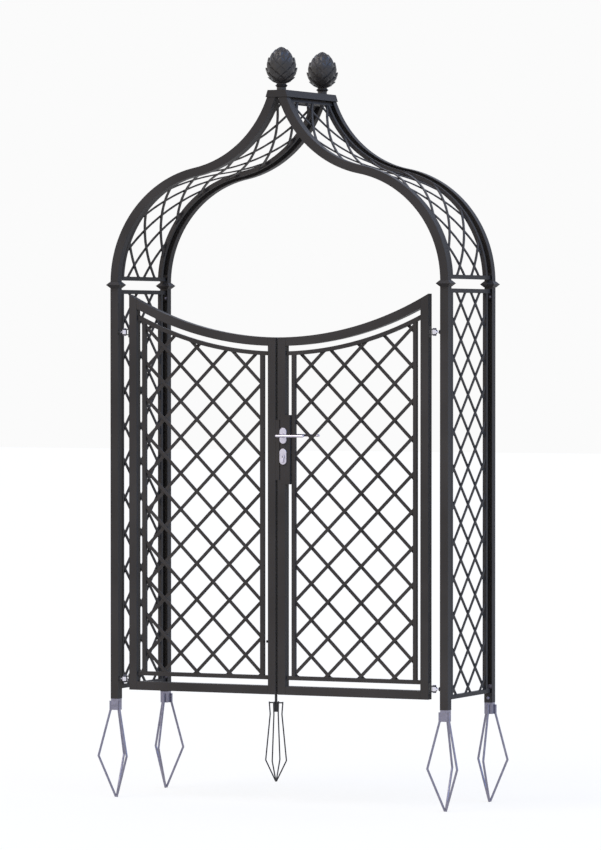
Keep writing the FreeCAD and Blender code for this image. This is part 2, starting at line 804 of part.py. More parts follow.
def dip_band(x0, x1, radius, width, depth):
    # A bar that hangs in an arc between two uprights.
    y0, y1 = leaf_bounds(depth)
    low = dip_height(radius + width, x0) - 1
    high = dip_height(radius, x1) + 1
    band = box(x0, x1, y0, y1, low, high).common(dip_disc(radius + width, y0, y1))
    return band.cut(dip_disc(radius, y0 - 1, y1 + 1))


def make_top_rail(x0, x1):
    outer = dip_band(x0, x1, leaf_dip_radius, section, section)
    core = dip_band(x0 - 1, x1 + 1, leaf_dip_radius + tube_wall, section - 2 * tube_wall, section - 2 * tube_wall)
    return outer.cut(core)


def make_bottom_rail(x0, x1):
    y0, y1 = leaf_bounds(section)
    return tube_box(x0, x1, y0, y1, leaf_bottom, leaf_bottom + section, tube_wall, "x")


def inner_window():
    # The opening of the inner frame that the lattice fills.
    x0 = leaf_inner + section + inner_gap_meeting + panel_bar
    x1 = leaf_outer - section - inner_gap_hinge - panel_bar
    z0 = leaf_bottom + section + inner_gap_bottom + panel_bar
    radius = leaf_dip_radius + section + inner_gap_top + panel_bar
    return x0, x1, z0, radius


def make_inner_frame():
    # Two uprights between a straight bar and a hanging bar that run from stile to stile.
    x0, x1, z0, radius = inner_window()
    left = leaf_inner + section
    right = leaf_outer - section
    y0, y1 = leaf_bounds(panel_bar)
    top_bar = dip_band(left, right, radius - panel_bar, panel_bar, panel_bar)
    pieces = [top_bar, box(left, right, y0, y1, z0 - panel_bar, z0)]
    for edge in (x0 - panel_bar, x1):
        upright = box(edge, edge + panel_bar, y0, y1, z0, dip_height(radius, edge + panel_bar) + panel_bar / 2)
        pieces.append(upright.cut(dip_disc(radius - panel_bar / 2, y0 - 1, y1 + 1)))
    return fuse(pieces)


def make_leaf_lattice():
    x0, x1, z0, radius = inner_window()
    high = dip_height(radius, x1)
    window = box(x0, x1, leaf_y - section, leaf_y + section, z0, high)
    window = window.cut(dip_disc(radius, leaf_y - section - 1, leaf_y + section + 1))
    return make_lattice_xz(window, x0, x1, z0, high, leaf_lattice_node, leaf_lattice_bar, leaf_y)


# Hinges

def make_eye_bolt(height):
    # A barrel with a tapered neck and a shank that screws into the post.
    barrel = cylinder(eye_radius, (hinge_x, hinge_y, height - eye_height / 2),
                      (hinge_x, hinge_y, height + eye_height / 2))
    neck = Part.makeCone(eye_neck, eye_shank, eye_neck_length,
                         FreeCAD.Vector(hinge_x + eye_radius / 2, hinge_y, height), FreeCAD.Vector(1, 0, 0))
    end = post_x - half + channel_wall + eye_shank_depth
    shank = cylinder(eye_shank, (hinge_x + eye_radius, hinge_y, height), (end, hinge_y, height))
    bore = cylinder(hinge_pin + hinge_pin_fit, (hinge_x, hinge_y, height - eye_height),
                    (hinge_x, hinge_y, height + eye_height))
    return fuse([barrel, neck, shank]).cut(bore)


def make_hinge_nuts(height):
    # A lock nut on the outside of the post's flange and a threaded insert behind it.
    face = post_x - half
    nut = hexagon_nut(face - lock_nut_height, hinge_y, height, lock_nut_height, lock_nut, eye_shank + hinge_pin_fit)
    start = face + channel_wall
    insert = cylinder(insert_radius, (start, hinge_y, height), (start + eye_shank_depth, hinge_y, height))
    hole = cylinder(eye_shank + hinge_pin_fit, (start - 1, hinge_y, height),
                    (start + eye_shank_depth + 1, hinge_y, height))
    return [nut, insert.cut(hole)]


def make_hinge_bracket(height):
    # A base plate on the leaf's edge with an ear above and below the eye.
    base = box(leaf_outer, leaf_outer + bracket_base, hinge_y - bracket_half_width, hinge_y + bracket_half_width,
               height - bracket_half_height, height + bracket_half_height)
    pieces = [base]
    for sign in (-1, 1):
        inner = height + sign * (eye_height / 2 + ear_fit)
        outer = inner + sign * ear_thickness
        low, high = sorted((inner, outer))
        pieces.append(box(leaf_outer + bracket_base / 2, hinge_x, hinge_y - bracket_half_width,
                          hinge_y + bracket_half_width, low, high))
        pieces.append(cylinder(bracket_half_width, (hinge_x, hinge_y, low), (hinge_x, hinge_y, high)))
    bore = cylinder(hinge_pin + hinge_pin_fit, (hinge_x, hinge_y, height - bracket_half_height),
                    (hinge_x, hinge_y, height + bracket_half_height))
    return fuse(pieces).cut(bore)


def make_hinge_pin(height):
    reach = eye_height / 2 + ear_fit + ear_thickness
    shank = cylinder(hinge_pin, (hinge_x, hinge_y, height - reach), (hinge_x, hinge_y, height + reach))
    heads = []
    for sign in (-1, 1):
        low, high = sorted((height + sign * reach, height + sign * (reach + hinge_pin_head_height)))
        heads.append(cylinder(hinge_pin_head, (hinge_x, hinge_y, low), (hinge_x, hinge_y, high)))
    return fuse([shank] + heads)


# Lock

def make_lock_case():
    # A closed steel box between the two lengths of the meeting stile.
    y0, y1 = leaf_bounds(section)
    body = tube_box(lock_front_x, lock_back_x, y0, y1, lock_bottom, lock_top, lock_wall)
    front = lock_front_x - 1
    behind = lock_front_x + lock_wall + 1
    latch_low = spindle_height + latch_bottom_rise
    dead_low = cylinder_height + dead_bottom_rise
    cuts = [box(front, behind, leaf_y - latch_half_width - bolt_fit, leaf_y + latch_half_width + bolt_fit,
                latch_low - bolt_fit, latch_low + latch_height + bolt_fit),
            box(front, behind, leaf_y - dead_half_width - bolt_fit, leaf_y + dead_half_width + bolt_fit,
                dead_low - bolt_fit, dead_low + dead_height + bolt_fit),
            cylinder(lever_neck + seat_gap, (spindle_x, y0 - 1, spindle_height), (spindle_x, y1 + 1, spindle_height)),
            euro_profile(cutout_fit, y0 - 1, y1 + 1)]
    return body.cut(Part.makeCompound(cuts))


def make_lock_stile():
    # The right meeting stile in two lengths, notched round the lock case and the strike box.
    stile = make_stile(leaf_inner, leaf_inner + section)
    y0, y1 = leaf_bounds(section + 2)
    case = box(lock_front_x, lock_back_x, y0, y1, lock_bottom, lock_top)
    notch = box(leaf_inner - 1, lock_front_x + 1, y0, y1, strike_bottom - strike_clear, strike_top + strike_clear)
    return stile.cut(Part.makeCompound([case, notch]))


def make_strike_box():
    # A box on the left leaf with a window for each bolt.
    y0, y1 = leaf_bounds(section)
    face = lock_front_x - strike_gap
    body = box(-leaf_inner, face, y0, y1, strike_bottom, strike_top)
    inner = box(-leaf_inner - 1, face - lock_wall, y0 + lock_wall, y1 - lock_wall,
                strike_bottom + lock_wall, strike_top - lock_wall)
    latch_low = spindle_height + latch_bottom_rise
    dead_low = cylinder_height + dead_bottom_rise
    room = strike_fit
    windows = [box(face - lock_wall - 1, face + 1, leaf_y - latch_half_width - room,
                   leaf_y + latch_half_width + room, latch_low - room, latch_low + latch_height + room),
               box(face - lock_wall - 1, face + 1, leaf_y - dead_half_width - room,
                   leaf_y + dead_half_width + room, dead_low - room, dead_low + dead_height + room)]
    return body.cut(inner).cut(Part.makeCompound(windows))


def make_latch_bolt():
    # The latch with its sloping nose and the notch that the follower's arm works in.
    low = spindle_height + latch_bottom_rise
    nose = lock_front_x - latch_protrusion
    back = lock_front_x + latch_tail
    y0 = leaf_y - latch_half_width
    y1 = leaf_y + latch_half_width
    outline = [(nose, y0), (back, y0), (back, y1), (lock_front_x - 1.5, y1), (nose, y0 + latch_half_width * 0.5)]
    body = prism_xy(outline, low, low + latch_height)
    gap = follower_arm_half + latch_notch_gap
    notch = box(spindle_x - gap - latch_notch_lag, spindle_x + gap, y0 - 1, y1 + 1, low - 1, low + latch_notch_depth)
    return body.cut(notch)


def make_follower():
    # The hub on the spindle, with the arm that draws the latch.
    y0 = leaf_y - follower_width / 2
    y1 = leaf_y + follower_width / 2
    hub = cylinder(follower_radius, (spindle_x, y0, spindle_height), (spindle_x, y1, spindle_height))
    arm = box(spindle_x - follower_arm_half, spindle_x + follower_arm_half, y0, y1,
              spindle_height, spindle_height + follower_arm)
    side = spindle_side + 2 * spindle_fit
    hole = centred_box(spindle_x, leaf_y, spindle_height, side, follower_width + 2, side)
    return fuse([hub, arm]).cut(hole)


def make_spindle():
    # A square bar through the follower, with an end in the socket of each lever.
    length = 2 * (half + rose_thickness + spindle_socket) - seat_gap
    return centred_box(spindle_x, leaf_y, spindle_height, spindle_side, length, spindle_side)


def make_front_lever():
    # A round neck over the spindle that tapers to a round bar with domed ends.
    neck_start = leaf_y - half - seat_gap
    depth = half + rose_thickness + spindle_socket
    taper = leaf_y - depth - lever_taper_gap
    y_bar = leaf_y - lever_offset
    neck = cylinder(lever_neck, (spindle_x, neck_start, spindle_height), (spindle_x, taper, spindle_height))
    cone = Part.makeCone(lever_neck, lever_radius, taper - y_bar,
                         FreeCAD.Vector(spindle_x, taper, spindle_height), FreeCAD.Vector(0, -1, 0))
    bar = domed_rod(lever_radius, lever_start_x, lever_end_x, y_bar, spindle_height)
    side = spindle_side + 2 * spindle_fit
    socket = centred_box(spindle_x, leaf_y, spindle_height, side, 2 * depth, side)
    return fuse([neck, cone, bar]).cut(socket)


def make_rose(height, sign, hole):
    y0, y1 = sorted((leaf_y + sign * half, leaf_y + sign * (half + rose_thickness)))
    plate = stadium(spindle_x, height, rose_width, rose_height, y0, y1)
    return plate.cut(hole)


def euro_profile(fit, y0, y1):
    # The pear-shaped outline of a lock cylinder, extruded along Y.
    barrel = cylinder(cylinder_radius + fit, (spindle_x, y0, cylinder_height), (spindle_x, y1, cylinder_height))
    web = box(spindle_x - cylinder_web - fit, spindle_x + cylinder_web + fit, y0, y1,
              cylinder_height - cylinder_drop - fit, cylinder_height)
    return fuse([barrel, web])


def make_cylinder_body():
    # Two halves with a bridge between them, below the turning cam.
    body = euro_profile(0, leaf_y - cylinder_half_length, leaf_y + cylinder_half_length)
    gap = cam_half_width + cylinder_cam_gap
    slot_low = cylinder_height - cylinder_drop + cylinder_bridge
    slot = box(spindle_x - section, spindle_x + section, leaf_y - gap, leaf_y + gap, slot_low,
               cylinder_height + section)
    bore = cylinder(plug_radius + plug_fit, (spindle_x, leaf_y - cylinder_half_length - 1, cylinder_height),
                    (spindle_x, leaf_y + cylinder_half_length + 1, cylinder_height))
    return body.cut(slot).cut(bore)


def make_key_plug():
    # The turning core, its cam and the finger that throws the dead bolt, drawn at rest.
    core = cylinder(plug_radius, (spindle_x, leaf_y - cylinder_half_length, cylinder_height),
                    (spindle_x, leaf_y + cylinder_half_length, cylinder_height))
    cam = cylinder(cam_radius, (spindle_x, leaf_y - cam_half_width, cylinder_height),
                   (spindle_x, leaf_y + cam_half_width, cylinder_height))
    finger = box(spindle_x - cam_finger_half, spindle_x + cam_finger_half, leaf_y - cam_half_width,
                 leaf_y + cam_half_width, cylinder_height, cylinder_height + cam_finger)
    tip = cylinder(cam_finger_half, (spindle_x, leaf_y - cam_half_width, cylinder_height + cam_finger),
                   (spindle_x, leaf_y + cam_half_width, cylinder_height + cam_finger))
    arm = turned(fuse([finger, tip]), 45, spindle_x, leaf_y, (0, 1, 0), cylinder_height)
    body = fuse([core, cam, arm])
    slots = []
    for sign in (-1, 1):
        outer = leaf_y + sign * (cylinder_half_length + 1)
        inner = leaf_y + sign * (cylinder_half_length - key_slot_depth)
        y0, y1 = sorted((outer, inner))
        slots.append(box(spindle_x - key_slot / 2, spindle_x + key_slot / 2, y0, y1,
                         cylinder_height - key_slot_height / 2, cylinder_height + key_slot_height / 2))
    return body.cut(Part.makeCompound(slots))


def make_dead_bolt():
    # A square bolt, drawn back flush with the lock's face, with a fork for the cam's finger.
    low = cylinder_height + dead_bottom_rise
    body = box(lock_front_x, lock_front_x + dead_tail, leaf_y - dead_half_width, leaf_y + dead_half_width,
               low, low + dead_height)
    middle = spindle_x + dead_throw / 2
    slot = box(middle - dead_slot_half, middle + dead_slot_half, leaf_y - dead_half_width - 1,
               leaf_y + dead_half_width + 1, low - 1, low + dead_slot_depth)
    return body.cut(slot)


# Drop bolt and ground socket

def make_drop_bolt():
    # A rod down the back of the left meeting stile, with its top bent over as a handle.
    low = socket_mouth + drop_rest_gap
    handle_x = drop_x - drop_handle_reach
    rod = pipe([(drop_x, drop_y, low), (drop_x, drop_y, drop_handle_height),
                (handle_x, drop_y, drop_handle_height)], drop_radius)
    return rod


def make_drop_guides():
    # Two square blocks on the stile's rear face that the rod slides in.
    blocks = []
    reach = drop_radius + drop_guide_wall
    for height in drop_guide_heights:
        block = box(drop_x - reach, drop_x + reach, leaf_y + half, drop_y + reach,
                    height - drop_guide_height / 2, height + drop_guide_height / 2)
        hole = cylinder(drop_radius + drop_guide_fit, (drop_x, drop_y, height - drop_guide_height),
                        (drop_x, drop_y, height + drop_guide_height))
        blocks.append(block.cut(hole))
    return group(blocks)


def make_ground_socket():
    # A short tube carried by a cross at its mouth and four bent rods that meet in a point.
    outer = cylinder(socket_outer, (0, 0, -socket_depth), (0, 0, socket_mouth))
    bore = cylinder(socket_bore, (0, 0, -socket_depth - 1), (0, 0, socket_mouth + 1))
    tube = outer.cut(bore)
    pieces = [tube]
    for step in range(4):
        angle = math.radians(90 * step + socket_turn)
        direction = (math.cos(angle), math.sin(angle))
        height = socket_mouth - socket_rod - socket_arm_drop
        arm = cylinder(socket_rod, (direction[0] * socket_arm_root, direction[1] * socket_arm_root, height),
                       (direction[0] * socket_rod_top, direction[1] * socket_rod_top, height))
        stations = ((socket_rod_top, socket_mouth), (socket_waist, -socket_waist_depth),
                    (socket_knee, -socket_knee_depth), (socket_rod / 2, -socket_tip_depth))
        rod = pipe([(reach * direction[0], reach * direction[1], z) for reach, z in stations], socket_rod)
        pieces.extend([arm, rod])
    body = fuse(pieces)
    body.translate(FreeCAD.Vector(drop_x, drop_y, 0))
    return body


# Assembly

def arch_nodes():
    nodes = {}
    post = make_post()
    front_post = drill_hinges(post)
    nodes["post_front_right"] = front_post
    nodes["post_front_left"] = mirror_x(front_post)
    nodes["post_rear_right"] = mirror_y(post)
    nodes["post_rear_left"] = mirror_x(mirror_y(post))
    for place, arc in four_corners(make_arc()).items():
        nodes["arc_" + place] = arc
    nodes["post_collars"] = group(four_corners(make_collar()).values())
    nodes["post_connectors"] = group(four_corners(make_connector()).values())
    nodes["foot_spacers"] = group(four_corners(make_foot_spacer()).values())
    nodes["panel_screws"] = make_panel_screws()
    front_anchor = make_anchor(anchor_turn)
    rear_anchor = mirror_y(make_anchor(-anchor_turn))
    for row, anchor in (("front", front_anchor), ("rear", rear_anchor)):
        nodes["anchor_" + row + "_right"] = anchor
        nodes["anchor_" + row + "_left"] = shifted(anchor, -post_spacing, 0)
    nodes["side_frame_right"] = make_side_frame()
    nodes["side_lattice_right"] = make_side_lattice()
    nodes["arc_frame_right"] = make_arc_frame()
    nodes["arc_lattice_right"] = make_arc_lattice()
    for name in ("side_frame", "side_lattice", "arc_frame", "arc_lattice"):
        nodes[name + "_left"] = mirror_x(nodes[name + "_right"])
    nodes["ridge_cap"] = make_ridge_cap()
    nodes["finial_front"] = make_finial(-1)
    nodes["finial_rear"] = make_finial(1)
    nodes["ground_socket"] = make_ground_socket()
    eyes = [make_eye_bolt(height) for height in hinge_heights]
    nodes["hinge_eye_bolts"] = group(eyes + [mirror_x(eye) for eye in eyes])
    nuts = [nut for height in hinge_heights for nut in make_hinge_nuts(height)]
    nodes["hinge_nuts"] = group(nuts + [mirror_x(nut) for nut in nuts])
    return nodes


def shifted(shape, dx, dy):
    copy = shape.copy()
    copy.translate(FreeCAD.Vector(dx, dy, 0))
    return copy


def leaf_nodes():
    nodes = {}
    left = leaf_inner + section
    right = leaf_outer - section
    hinge_stile = make_stile(right, leaf_outer)
    pieces = {"hinge_stile": hinge_stile, "top_rail": make_top_rail(left, right),
              "bottom_rail": make_bottom_rail(left, right), "inner_frame": make_inner_frame(),
              "lattice": make_leaf_lattice(),
              "hinge_brackets": group([make_hinge_bracket(height) for height in hinge_heights]),
              "hinge_pins": group([make_hinge_pin(height) for height in hinge_heights])}
    for name, shape in pieces.items():
        nodes["right_" + name] = shape
        nodes["left_" + name] = mirror_x(shape)
    nodes["right_meeting_stile"] = make_lock_stile()
    nodes["left_meeting_stile"] = mirror_x(make_stile(leaf_inner, left))
    nodes["left_strike_box"] = make_strike_box()
    nodes["left_drop_guides"] = make_drop_guides()
    return nodes


def lock_nodes():
    nodes = {"lock_case": make_lock_case()}
    neck_hole = cylinder(lever_neck + lever_neck_fit * 4, (spindle_x, leaf_y - section, spindle_height),
                         (spindle_x, leaf_y + section, spindle_height))
    profile_hole = euro_profile(cutout_fit, leaf_y - section, leaf_y + section)
    nodes["handle_roses"] = group([make_rose(spindle_height, sign, neck_hole) for sign in (-1, 1)])
    nodes["cylinder_roses"] = group([make_rose(cylinder_height, sign, profile_hole) for sign in (-1, 1)])
    nodes["lock_cylinder"] = make_cylinder_body()
    nodes["key_plug"] = make_key_plug()
    nodes["dead_bolt"] = make_dead_bolt()
    nodes["latch_bolt"] = make_latch_bolt()
    nodes["latch_follower"] = make_follower()
    nodes["handle_spindle"] = make_spindle()
    nodes["lever_front"] = make_front_lever()
    nodes["lever_rear"] = nodes["lever_front"].mirror(FreeCAD.Vector(0, leaf_y, 0), FreeCAD.Vector(0, 1, 0))
    nodes["drop_bolt_rod"] = make_drop_bolt()
    return nodes


def main():
    os.makedirs("parts", exist_ok=True)
    nodes = {}
    nodes.update(arch_nodes())
    nodes.update(leaf_nodes())
    nodes.update(lock_nodes())
    for name, shape in sorted(nodes.items()):
        shape.exportStep("parts/" + name + ".step")
        valid = all(solid.isValid() for solid in shape.Solids)
        print(name, len(shape.Solids), "solids", round(shape.Volume / 1000, 1), "cm3", "" if valid else "INVALID")
    print(len(nodes), "nodes")


main()
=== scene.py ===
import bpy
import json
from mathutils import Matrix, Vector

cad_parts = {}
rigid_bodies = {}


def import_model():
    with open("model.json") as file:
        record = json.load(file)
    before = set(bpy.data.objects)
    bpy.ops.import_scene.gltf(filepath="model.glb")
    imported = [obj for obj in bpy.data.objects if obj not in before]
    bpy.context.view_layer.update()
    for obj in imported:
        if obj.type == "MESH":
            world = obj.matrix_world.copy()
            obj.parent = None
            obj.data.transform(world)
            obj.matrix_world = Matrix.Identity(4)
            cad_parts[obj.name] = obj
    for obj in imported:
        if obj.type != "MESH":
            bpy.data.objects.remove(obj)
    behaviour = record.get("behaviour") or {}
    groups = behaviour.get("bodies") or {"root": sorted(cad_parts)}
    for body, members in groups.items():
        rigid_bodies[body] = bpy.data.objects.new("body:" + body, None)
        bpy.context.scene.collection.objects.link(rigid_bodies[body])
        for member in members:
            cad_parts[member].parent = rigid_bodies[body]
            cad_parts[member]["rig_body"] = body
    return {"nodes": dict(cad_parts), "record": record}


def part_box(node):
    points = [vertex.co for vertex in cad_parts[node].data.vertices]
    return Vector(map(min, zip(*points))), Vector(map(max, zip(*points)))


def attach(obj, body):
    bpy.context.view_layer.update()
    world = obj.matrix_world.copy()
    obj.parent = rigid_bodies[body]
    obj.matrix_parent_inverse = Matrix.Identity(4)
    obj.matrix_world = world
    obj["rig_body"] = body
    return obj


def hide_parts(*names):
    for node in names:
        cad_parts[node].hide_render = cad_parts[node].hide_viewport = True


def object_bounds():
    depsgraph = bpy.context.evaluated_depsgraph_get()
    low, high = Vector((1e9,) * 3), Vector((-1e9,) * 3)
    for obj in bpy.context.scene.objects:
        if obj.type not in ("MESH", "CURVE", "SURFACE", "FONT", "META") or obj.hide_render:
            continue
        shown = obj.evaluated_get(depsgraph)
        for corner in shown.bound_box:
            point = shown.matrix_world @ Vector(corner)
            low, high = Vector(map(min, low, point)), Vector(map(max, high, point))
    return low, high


bl_info = {
    "name": "Garden arch with gate",
    "version": (1, 0, 0),
    "blender": (4, 5, 0),
    "location": "View3D > Sidebar > Garden Arch",
    "description": "Dresses the frame of a garden arch with its finish, finials, welds and fittings",
    "category": "Add Mesh",
}

import json
import math
from functools import partial

import bmesh
import bpy
from bpy.props import FloatProperty, FloatVectorProperty, IntProperty, PointerProperty
from mathutils import Matrix, Vector
from mathutils.bvhtree import BVHTree

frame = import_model()
cad_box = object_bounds()
nodes = frame["nodes"]

MM = 0.001
PLACES = ("front_right", "front_left", "rear_right", "rear_left")
SIDES = ("right", "left")

MERGE = 0.01 * MM                   # points closer than this are one point
FLAT = math.radians(0.6)            # faces that turn by less are one face
ROUND_FROM = math.radians(34.0)     # edges sharper than this are rounded
MOST_AREA = 1.05                    # most area of a rounded piece, as a share of the CAD piece's
WELD_REACH = 0.15 * MM              # how near a welded bar end lies to its frame
WELD_CORNER = math.radians(20.0)    # corners sharper than this can hold a weld
WELD_SMOOTH_DEGREES = 60.0
NOISE_BAND = (0.3, 0.7)             # where the values of a noise mostly lie
COAT_IOR = 1.11                     # matt coat, with next to no gloss
CAST_IOR = 1.36


# Settings that a user would change

def colour_setting(name, description, default, most=1.0):
    return FloatVectorProperty(
        name=name, description=description, subtype="COLOR", size=3, min=0.0, max=most, default=default)


def length_setting(name, description, default, least, most):
    # Lengths are given in millimetres.
    return FloatProperty(
        name=name, description=description, subtype="DISTANCE", unit="LENGTH",
        default=default * MM, min=least * MM, max=most * MM)


class GARDENARCH_PG_finish(bpy.types.PropertyGroup):
    coat: colour_setting("Powder coat", "Colour of the coated steel", (0.0520, 0.0480, 0.0465))
    coat_grain: length_setting("Coat grain", "Size of the coat's orange peel", 1.6, 0.3, 10)
    zinc: colour_setting("Zinc", "Colour of the galvanised anchors, screws and pins", (0.24, 0.23, 0.29))
    spangle: length_setting("Zinc spangle", "Width of one zinc crystal", 9, 1, 40)
    satin: colour_setting("Satin steel", "Colour of the levers, roses and cylinder", (0.60, 0.57, 0.64))
    bright: colour_setting("Bright zinc plate", "Colour of hinge eyes and lock bolts", (0.72, 0.70, 0.76))
    black: colour_setting("Black steel", "Colour of brackets, nuts and drop bolt", (0.010, 0.010, 0.013))


class GARDENARCH_PG_edges(bpy.types.PropertyGroup):
    tube: length_setting("Tube corner", "Corner radius of the square tubes", 1.1, 0.1, 4)
    channel: length_setting("Channel corner", "Corner radius of the open channels", 1.1, 0.1, 1.2)
    bar: length_setting("Bar corner", "Corner radius of the panel bars", 1.2, 0.1, 3)
    lattice: length_setting("Lattice corner", "Corner radius of the lattice bars", 0.8, 0.1, 2)
    fitting: length_setting("Fitting corner", "Corner radius of the lock and hinge pieces", 0.6, 0.1, 2)


class GARDENARCH_PG_finial(bpy.types.PropertyGroup):
    rows: IntProperty(name="Rows", description="Rows of scales on a finial", default=8, min=3, max=14)
    around: IntProperty(name="Scales in a row", description="Scales round a finial", default=8, min=5, max=14)
    lift: length_setting("Scale lift", "How far a scale's tip stands off", 8.5, 0.5, 15)
    height: length_setting("Cone height", "Height of the cone above its foot", 161, 50, 400)
    radius: length_setting("Cone radius", "Radius over the scales at the belly", 71, 20, 200)
    foot: length_setting("Cone foot", "Radius of the cone where it stands on its neck", 24, 5, 100)
    belly: length_setting("Belly height", "Height of the widest place above the foot", 62, 10, 200)
    oval: FloatProperty(
        name="Oval", description="0.5 is a true oval, more is slimmer", default=0.65, min=0.3, max=1.2)
    thread: length_setting("Stud thread", "Pitch of the stud's thread", 1.5, 0.5, 3)


class GARDENARCH_PG_weld(bpy.types.PropertyGroup):
    radius: length_setting("Bead radius", "Half the width of a weld bead", 1.6, 0.5, 5)
    pitch: length_setting("Ripple pitch", "Distance between two ripples of a weld", 3.0, 0.5, 8)
    seed: IntProperty(
        name="Seed", description="Seed of the welds' uneven ripples", default=7, min=0, max=999)


class GARDENARCH_PG_stage(bpy.types.PropertyGroup):
    floor: colour_setting("Floor", "Colour of the floor and backdrop", (0.965, 0.965, 0.965))
    bounce: colour_setting("Floor bounce", "Colour of what the floor throws back", (0.45, 0.44, 0.43))
    middle: colour_setting(
        "Upper backdrop", "Colour over the backdrop, which only gloss and metal show",
        (0.96, 1.04, 1.26), 2.0)
    overhead: colour_setting(
        "Sky overhead", "Tint of the sky light from straight above", (1.95, 1.97, 2.08), 4.0)
    ceiling: colour_setting(
        "Ceiling", "Colour straight above, which only gloss and metal show", (0.030, 0.030, 0.055))
    sky: FloatProperty(
        name="Sky light", description="Strength of the light from all round", default=0.56, min=0.0, max=3.0)
    key: FloatProperty(
        name="Key light", description="Strength of the front lamp", default=1.25, min=0.0, max=10.0)
    fill: FloatProperty(
        name="Side light", description="Strength of the lamp at the right", default=0.75, min=0.0, max=10.0)


SETTINGS = {
    "arch_finish": GARDENARCH_PG_finish,
    "arch_edges": GARDENARCH_PG_edges,
    "arch_finial": GARDENARCH_PG_finial,
    "arch_weld": GARDENARCH_PG_weld,
    "arch_stage": GARDENARCH_PG_stage,
}


# Nodes

def feed(tree, node, values):
    # Links or sets a node's inputs by name, with _ for a space.
    for name, value in values.items():
        link_in(tree, value, node.inputs[name.replace("_", " ")])


def link_in(tree, value, socket):
    # A socket's output is linked and a plain value is set.
    if isinstance(value, bpy.types.NodeSocket):
        tree.links.new(value, socket)
    else:
        socket.default_value = value


def node_of(tree, kind, output=0, settings=None, **values):
    # Adds a node, sets it up, feeds its inputs and gives one output.
    node = tree.nodes.new(kind)
    for name, value in (settings or {}).items():
        setattr(node, name, value)
    feed(tree, node, values)
    return node.outputs[output]


def calc(tree, operation, *values):
    node = tree.nodes.new("ShaderNodeMath")
    node.operation = operation
    for socket, value in zip(node.inputs, values):
        link_in(tree, value, socket)
    return node.outputs["Value"]


def sums(tree):
    # Sum, difference, product and quotient, as functions of their values.
    return [partial(calc, tree, name) for name in ("ADD", "SUBTRACT", "MULTIPLY", "DIVIDE")]


# Finishes

def new_material(name):
    # Gives a tree to fill only when the material is new.
    material = bpy.data.materials.get(name)
    if material is not None:
        return material, None
    material = bpy.data.materials.new(name)
    material.use_nodes = True
    return material, material.node_tree


def set_shader(tree, **values):
    shader = next(node for node in tree.nodes if node.type == "BSDF_PRINCIPLED")
    feed(tree, shader, values)
    return shader.outputs["BSDF"]


def object_point(tree, scale=(1.0, 1.0, 1.0)):
    place = node_of(tree, "ShaderNodeTexCoord", "Object")
    return node_of(tree, "ShaderNodeMapping", Vector=place, Scale=scale)


def noise(tree, point, scale, detail, roughness=0.5):
    return node_of(tree, "ShaderNodeTexNoise", "Fac", Vector=point, Scale=scale, Detail=detail,
                   Roughness=roughness)


def spread(tree, value, low=0.0, high=1.0):
    # Stretches a noise from where it mostly lies to low..high.
    return node_of(tree, "ShaderNodeMapRange", Value=value, From_Min=NOISE_BAND[0], From_Max=NOISE_BAND[1],
                   To_Min=low, To_Max=high)


def shade(colour, factor=1.0):
    return [min(1.0, channel * factor) for channel in colour] + [1.0]


def blend_colours(tree, factor, first, second):
    return node_of(tree, "ShaderNodeMix", "Result", {"data_type": "RGBA"}, Factor=factor, A=first, B=second)


def bump(tree, *heights):
    # Stacks bumps of (height, depth in metres) into one normal.
    under = {}
    for height, depth in heights:
        normal = node_of(tree, "ShaderNodeBump", Height=height, Distance=depth, Strength=1.0, **under)
        under = {"Normal": normal}
    return normal


def powder_coat():
    # Smooth dark coat with a faint orange peel and slow changes of tone.
    material, tree = new_material("powder coat finish")
    if tree is None:
        return material
    finish = bpy.context.scene.arch_finish
    point = object_point(tree)
    tones = spread(tree, noise(tree, point, scale=3.1, detail=3.0))
    peel = noise(tree, point, scale=1.0 / finish.coat_grain, detail=1.0)
    speck = noise(tree, point, scale=4.0 / finish.coat_grain, detail=1.0)
    set_shader(tree, IOR=COAT_IOR, Roughness=spread(tree, tones, 0.34, 0.44),
               Base_Color=blend_colours(tree, tones, shade(finish.coat, 0.86), shade(finish.coat, 1.16)),
               Normal=bump(tree, (peel, 0.02 * MM), (speck, 0.006 * MM)))
    return material


def cast_coat():
    # The same coat over cast metal, with the mould's grain under it.
    material, tree = new_material("coated casting finish")
    if tree is None:
        return material
    finish = bpy.context.scene.arch_finish
    point = object_point(tree)
    tones = spread(tree, noise(tree, point, scale=24.0, detail=3.0))
    sand = noise(tree, point, scale=1.4 / finish.coat_grain, detail=2.0)
    set_shader(tree, IOR=CAST_IOR, Roughness=spread(tree, tones, 0.24, 0.34),
               Base_Color=blend_colours(tree, tones, shade(finish.coat, 0.85), shade(finish.coat, 1.20)),
               Normal=bump(tree, (sand, 0.05 * MM)))
    return material


def black_steel():
    # Black plated steel with a thin oily gloss.
    material, tree = new_material("black steel finish")
    if tree is None:
        return material
    finish = bpy.context.scene.arch_finish
    point = object_point(tree)
    clouds = noise(tree, point, scale=60.0, detail=4.0)
    grain = noise(tree, point, scale=1400.0, detail=2.0)
    tones = blend_colours(tree, spread(tree, clouds), shade(finish.black, 0.8), shade(finish.black, 1.5))
    set_shader(tree, Metallic=0.2, Roughness=spread(tree, clouds, 0.28, 0.42), Base_Color=tones,
               Normal=bump(tree, (grain, 0.008 * MM)))
    return material


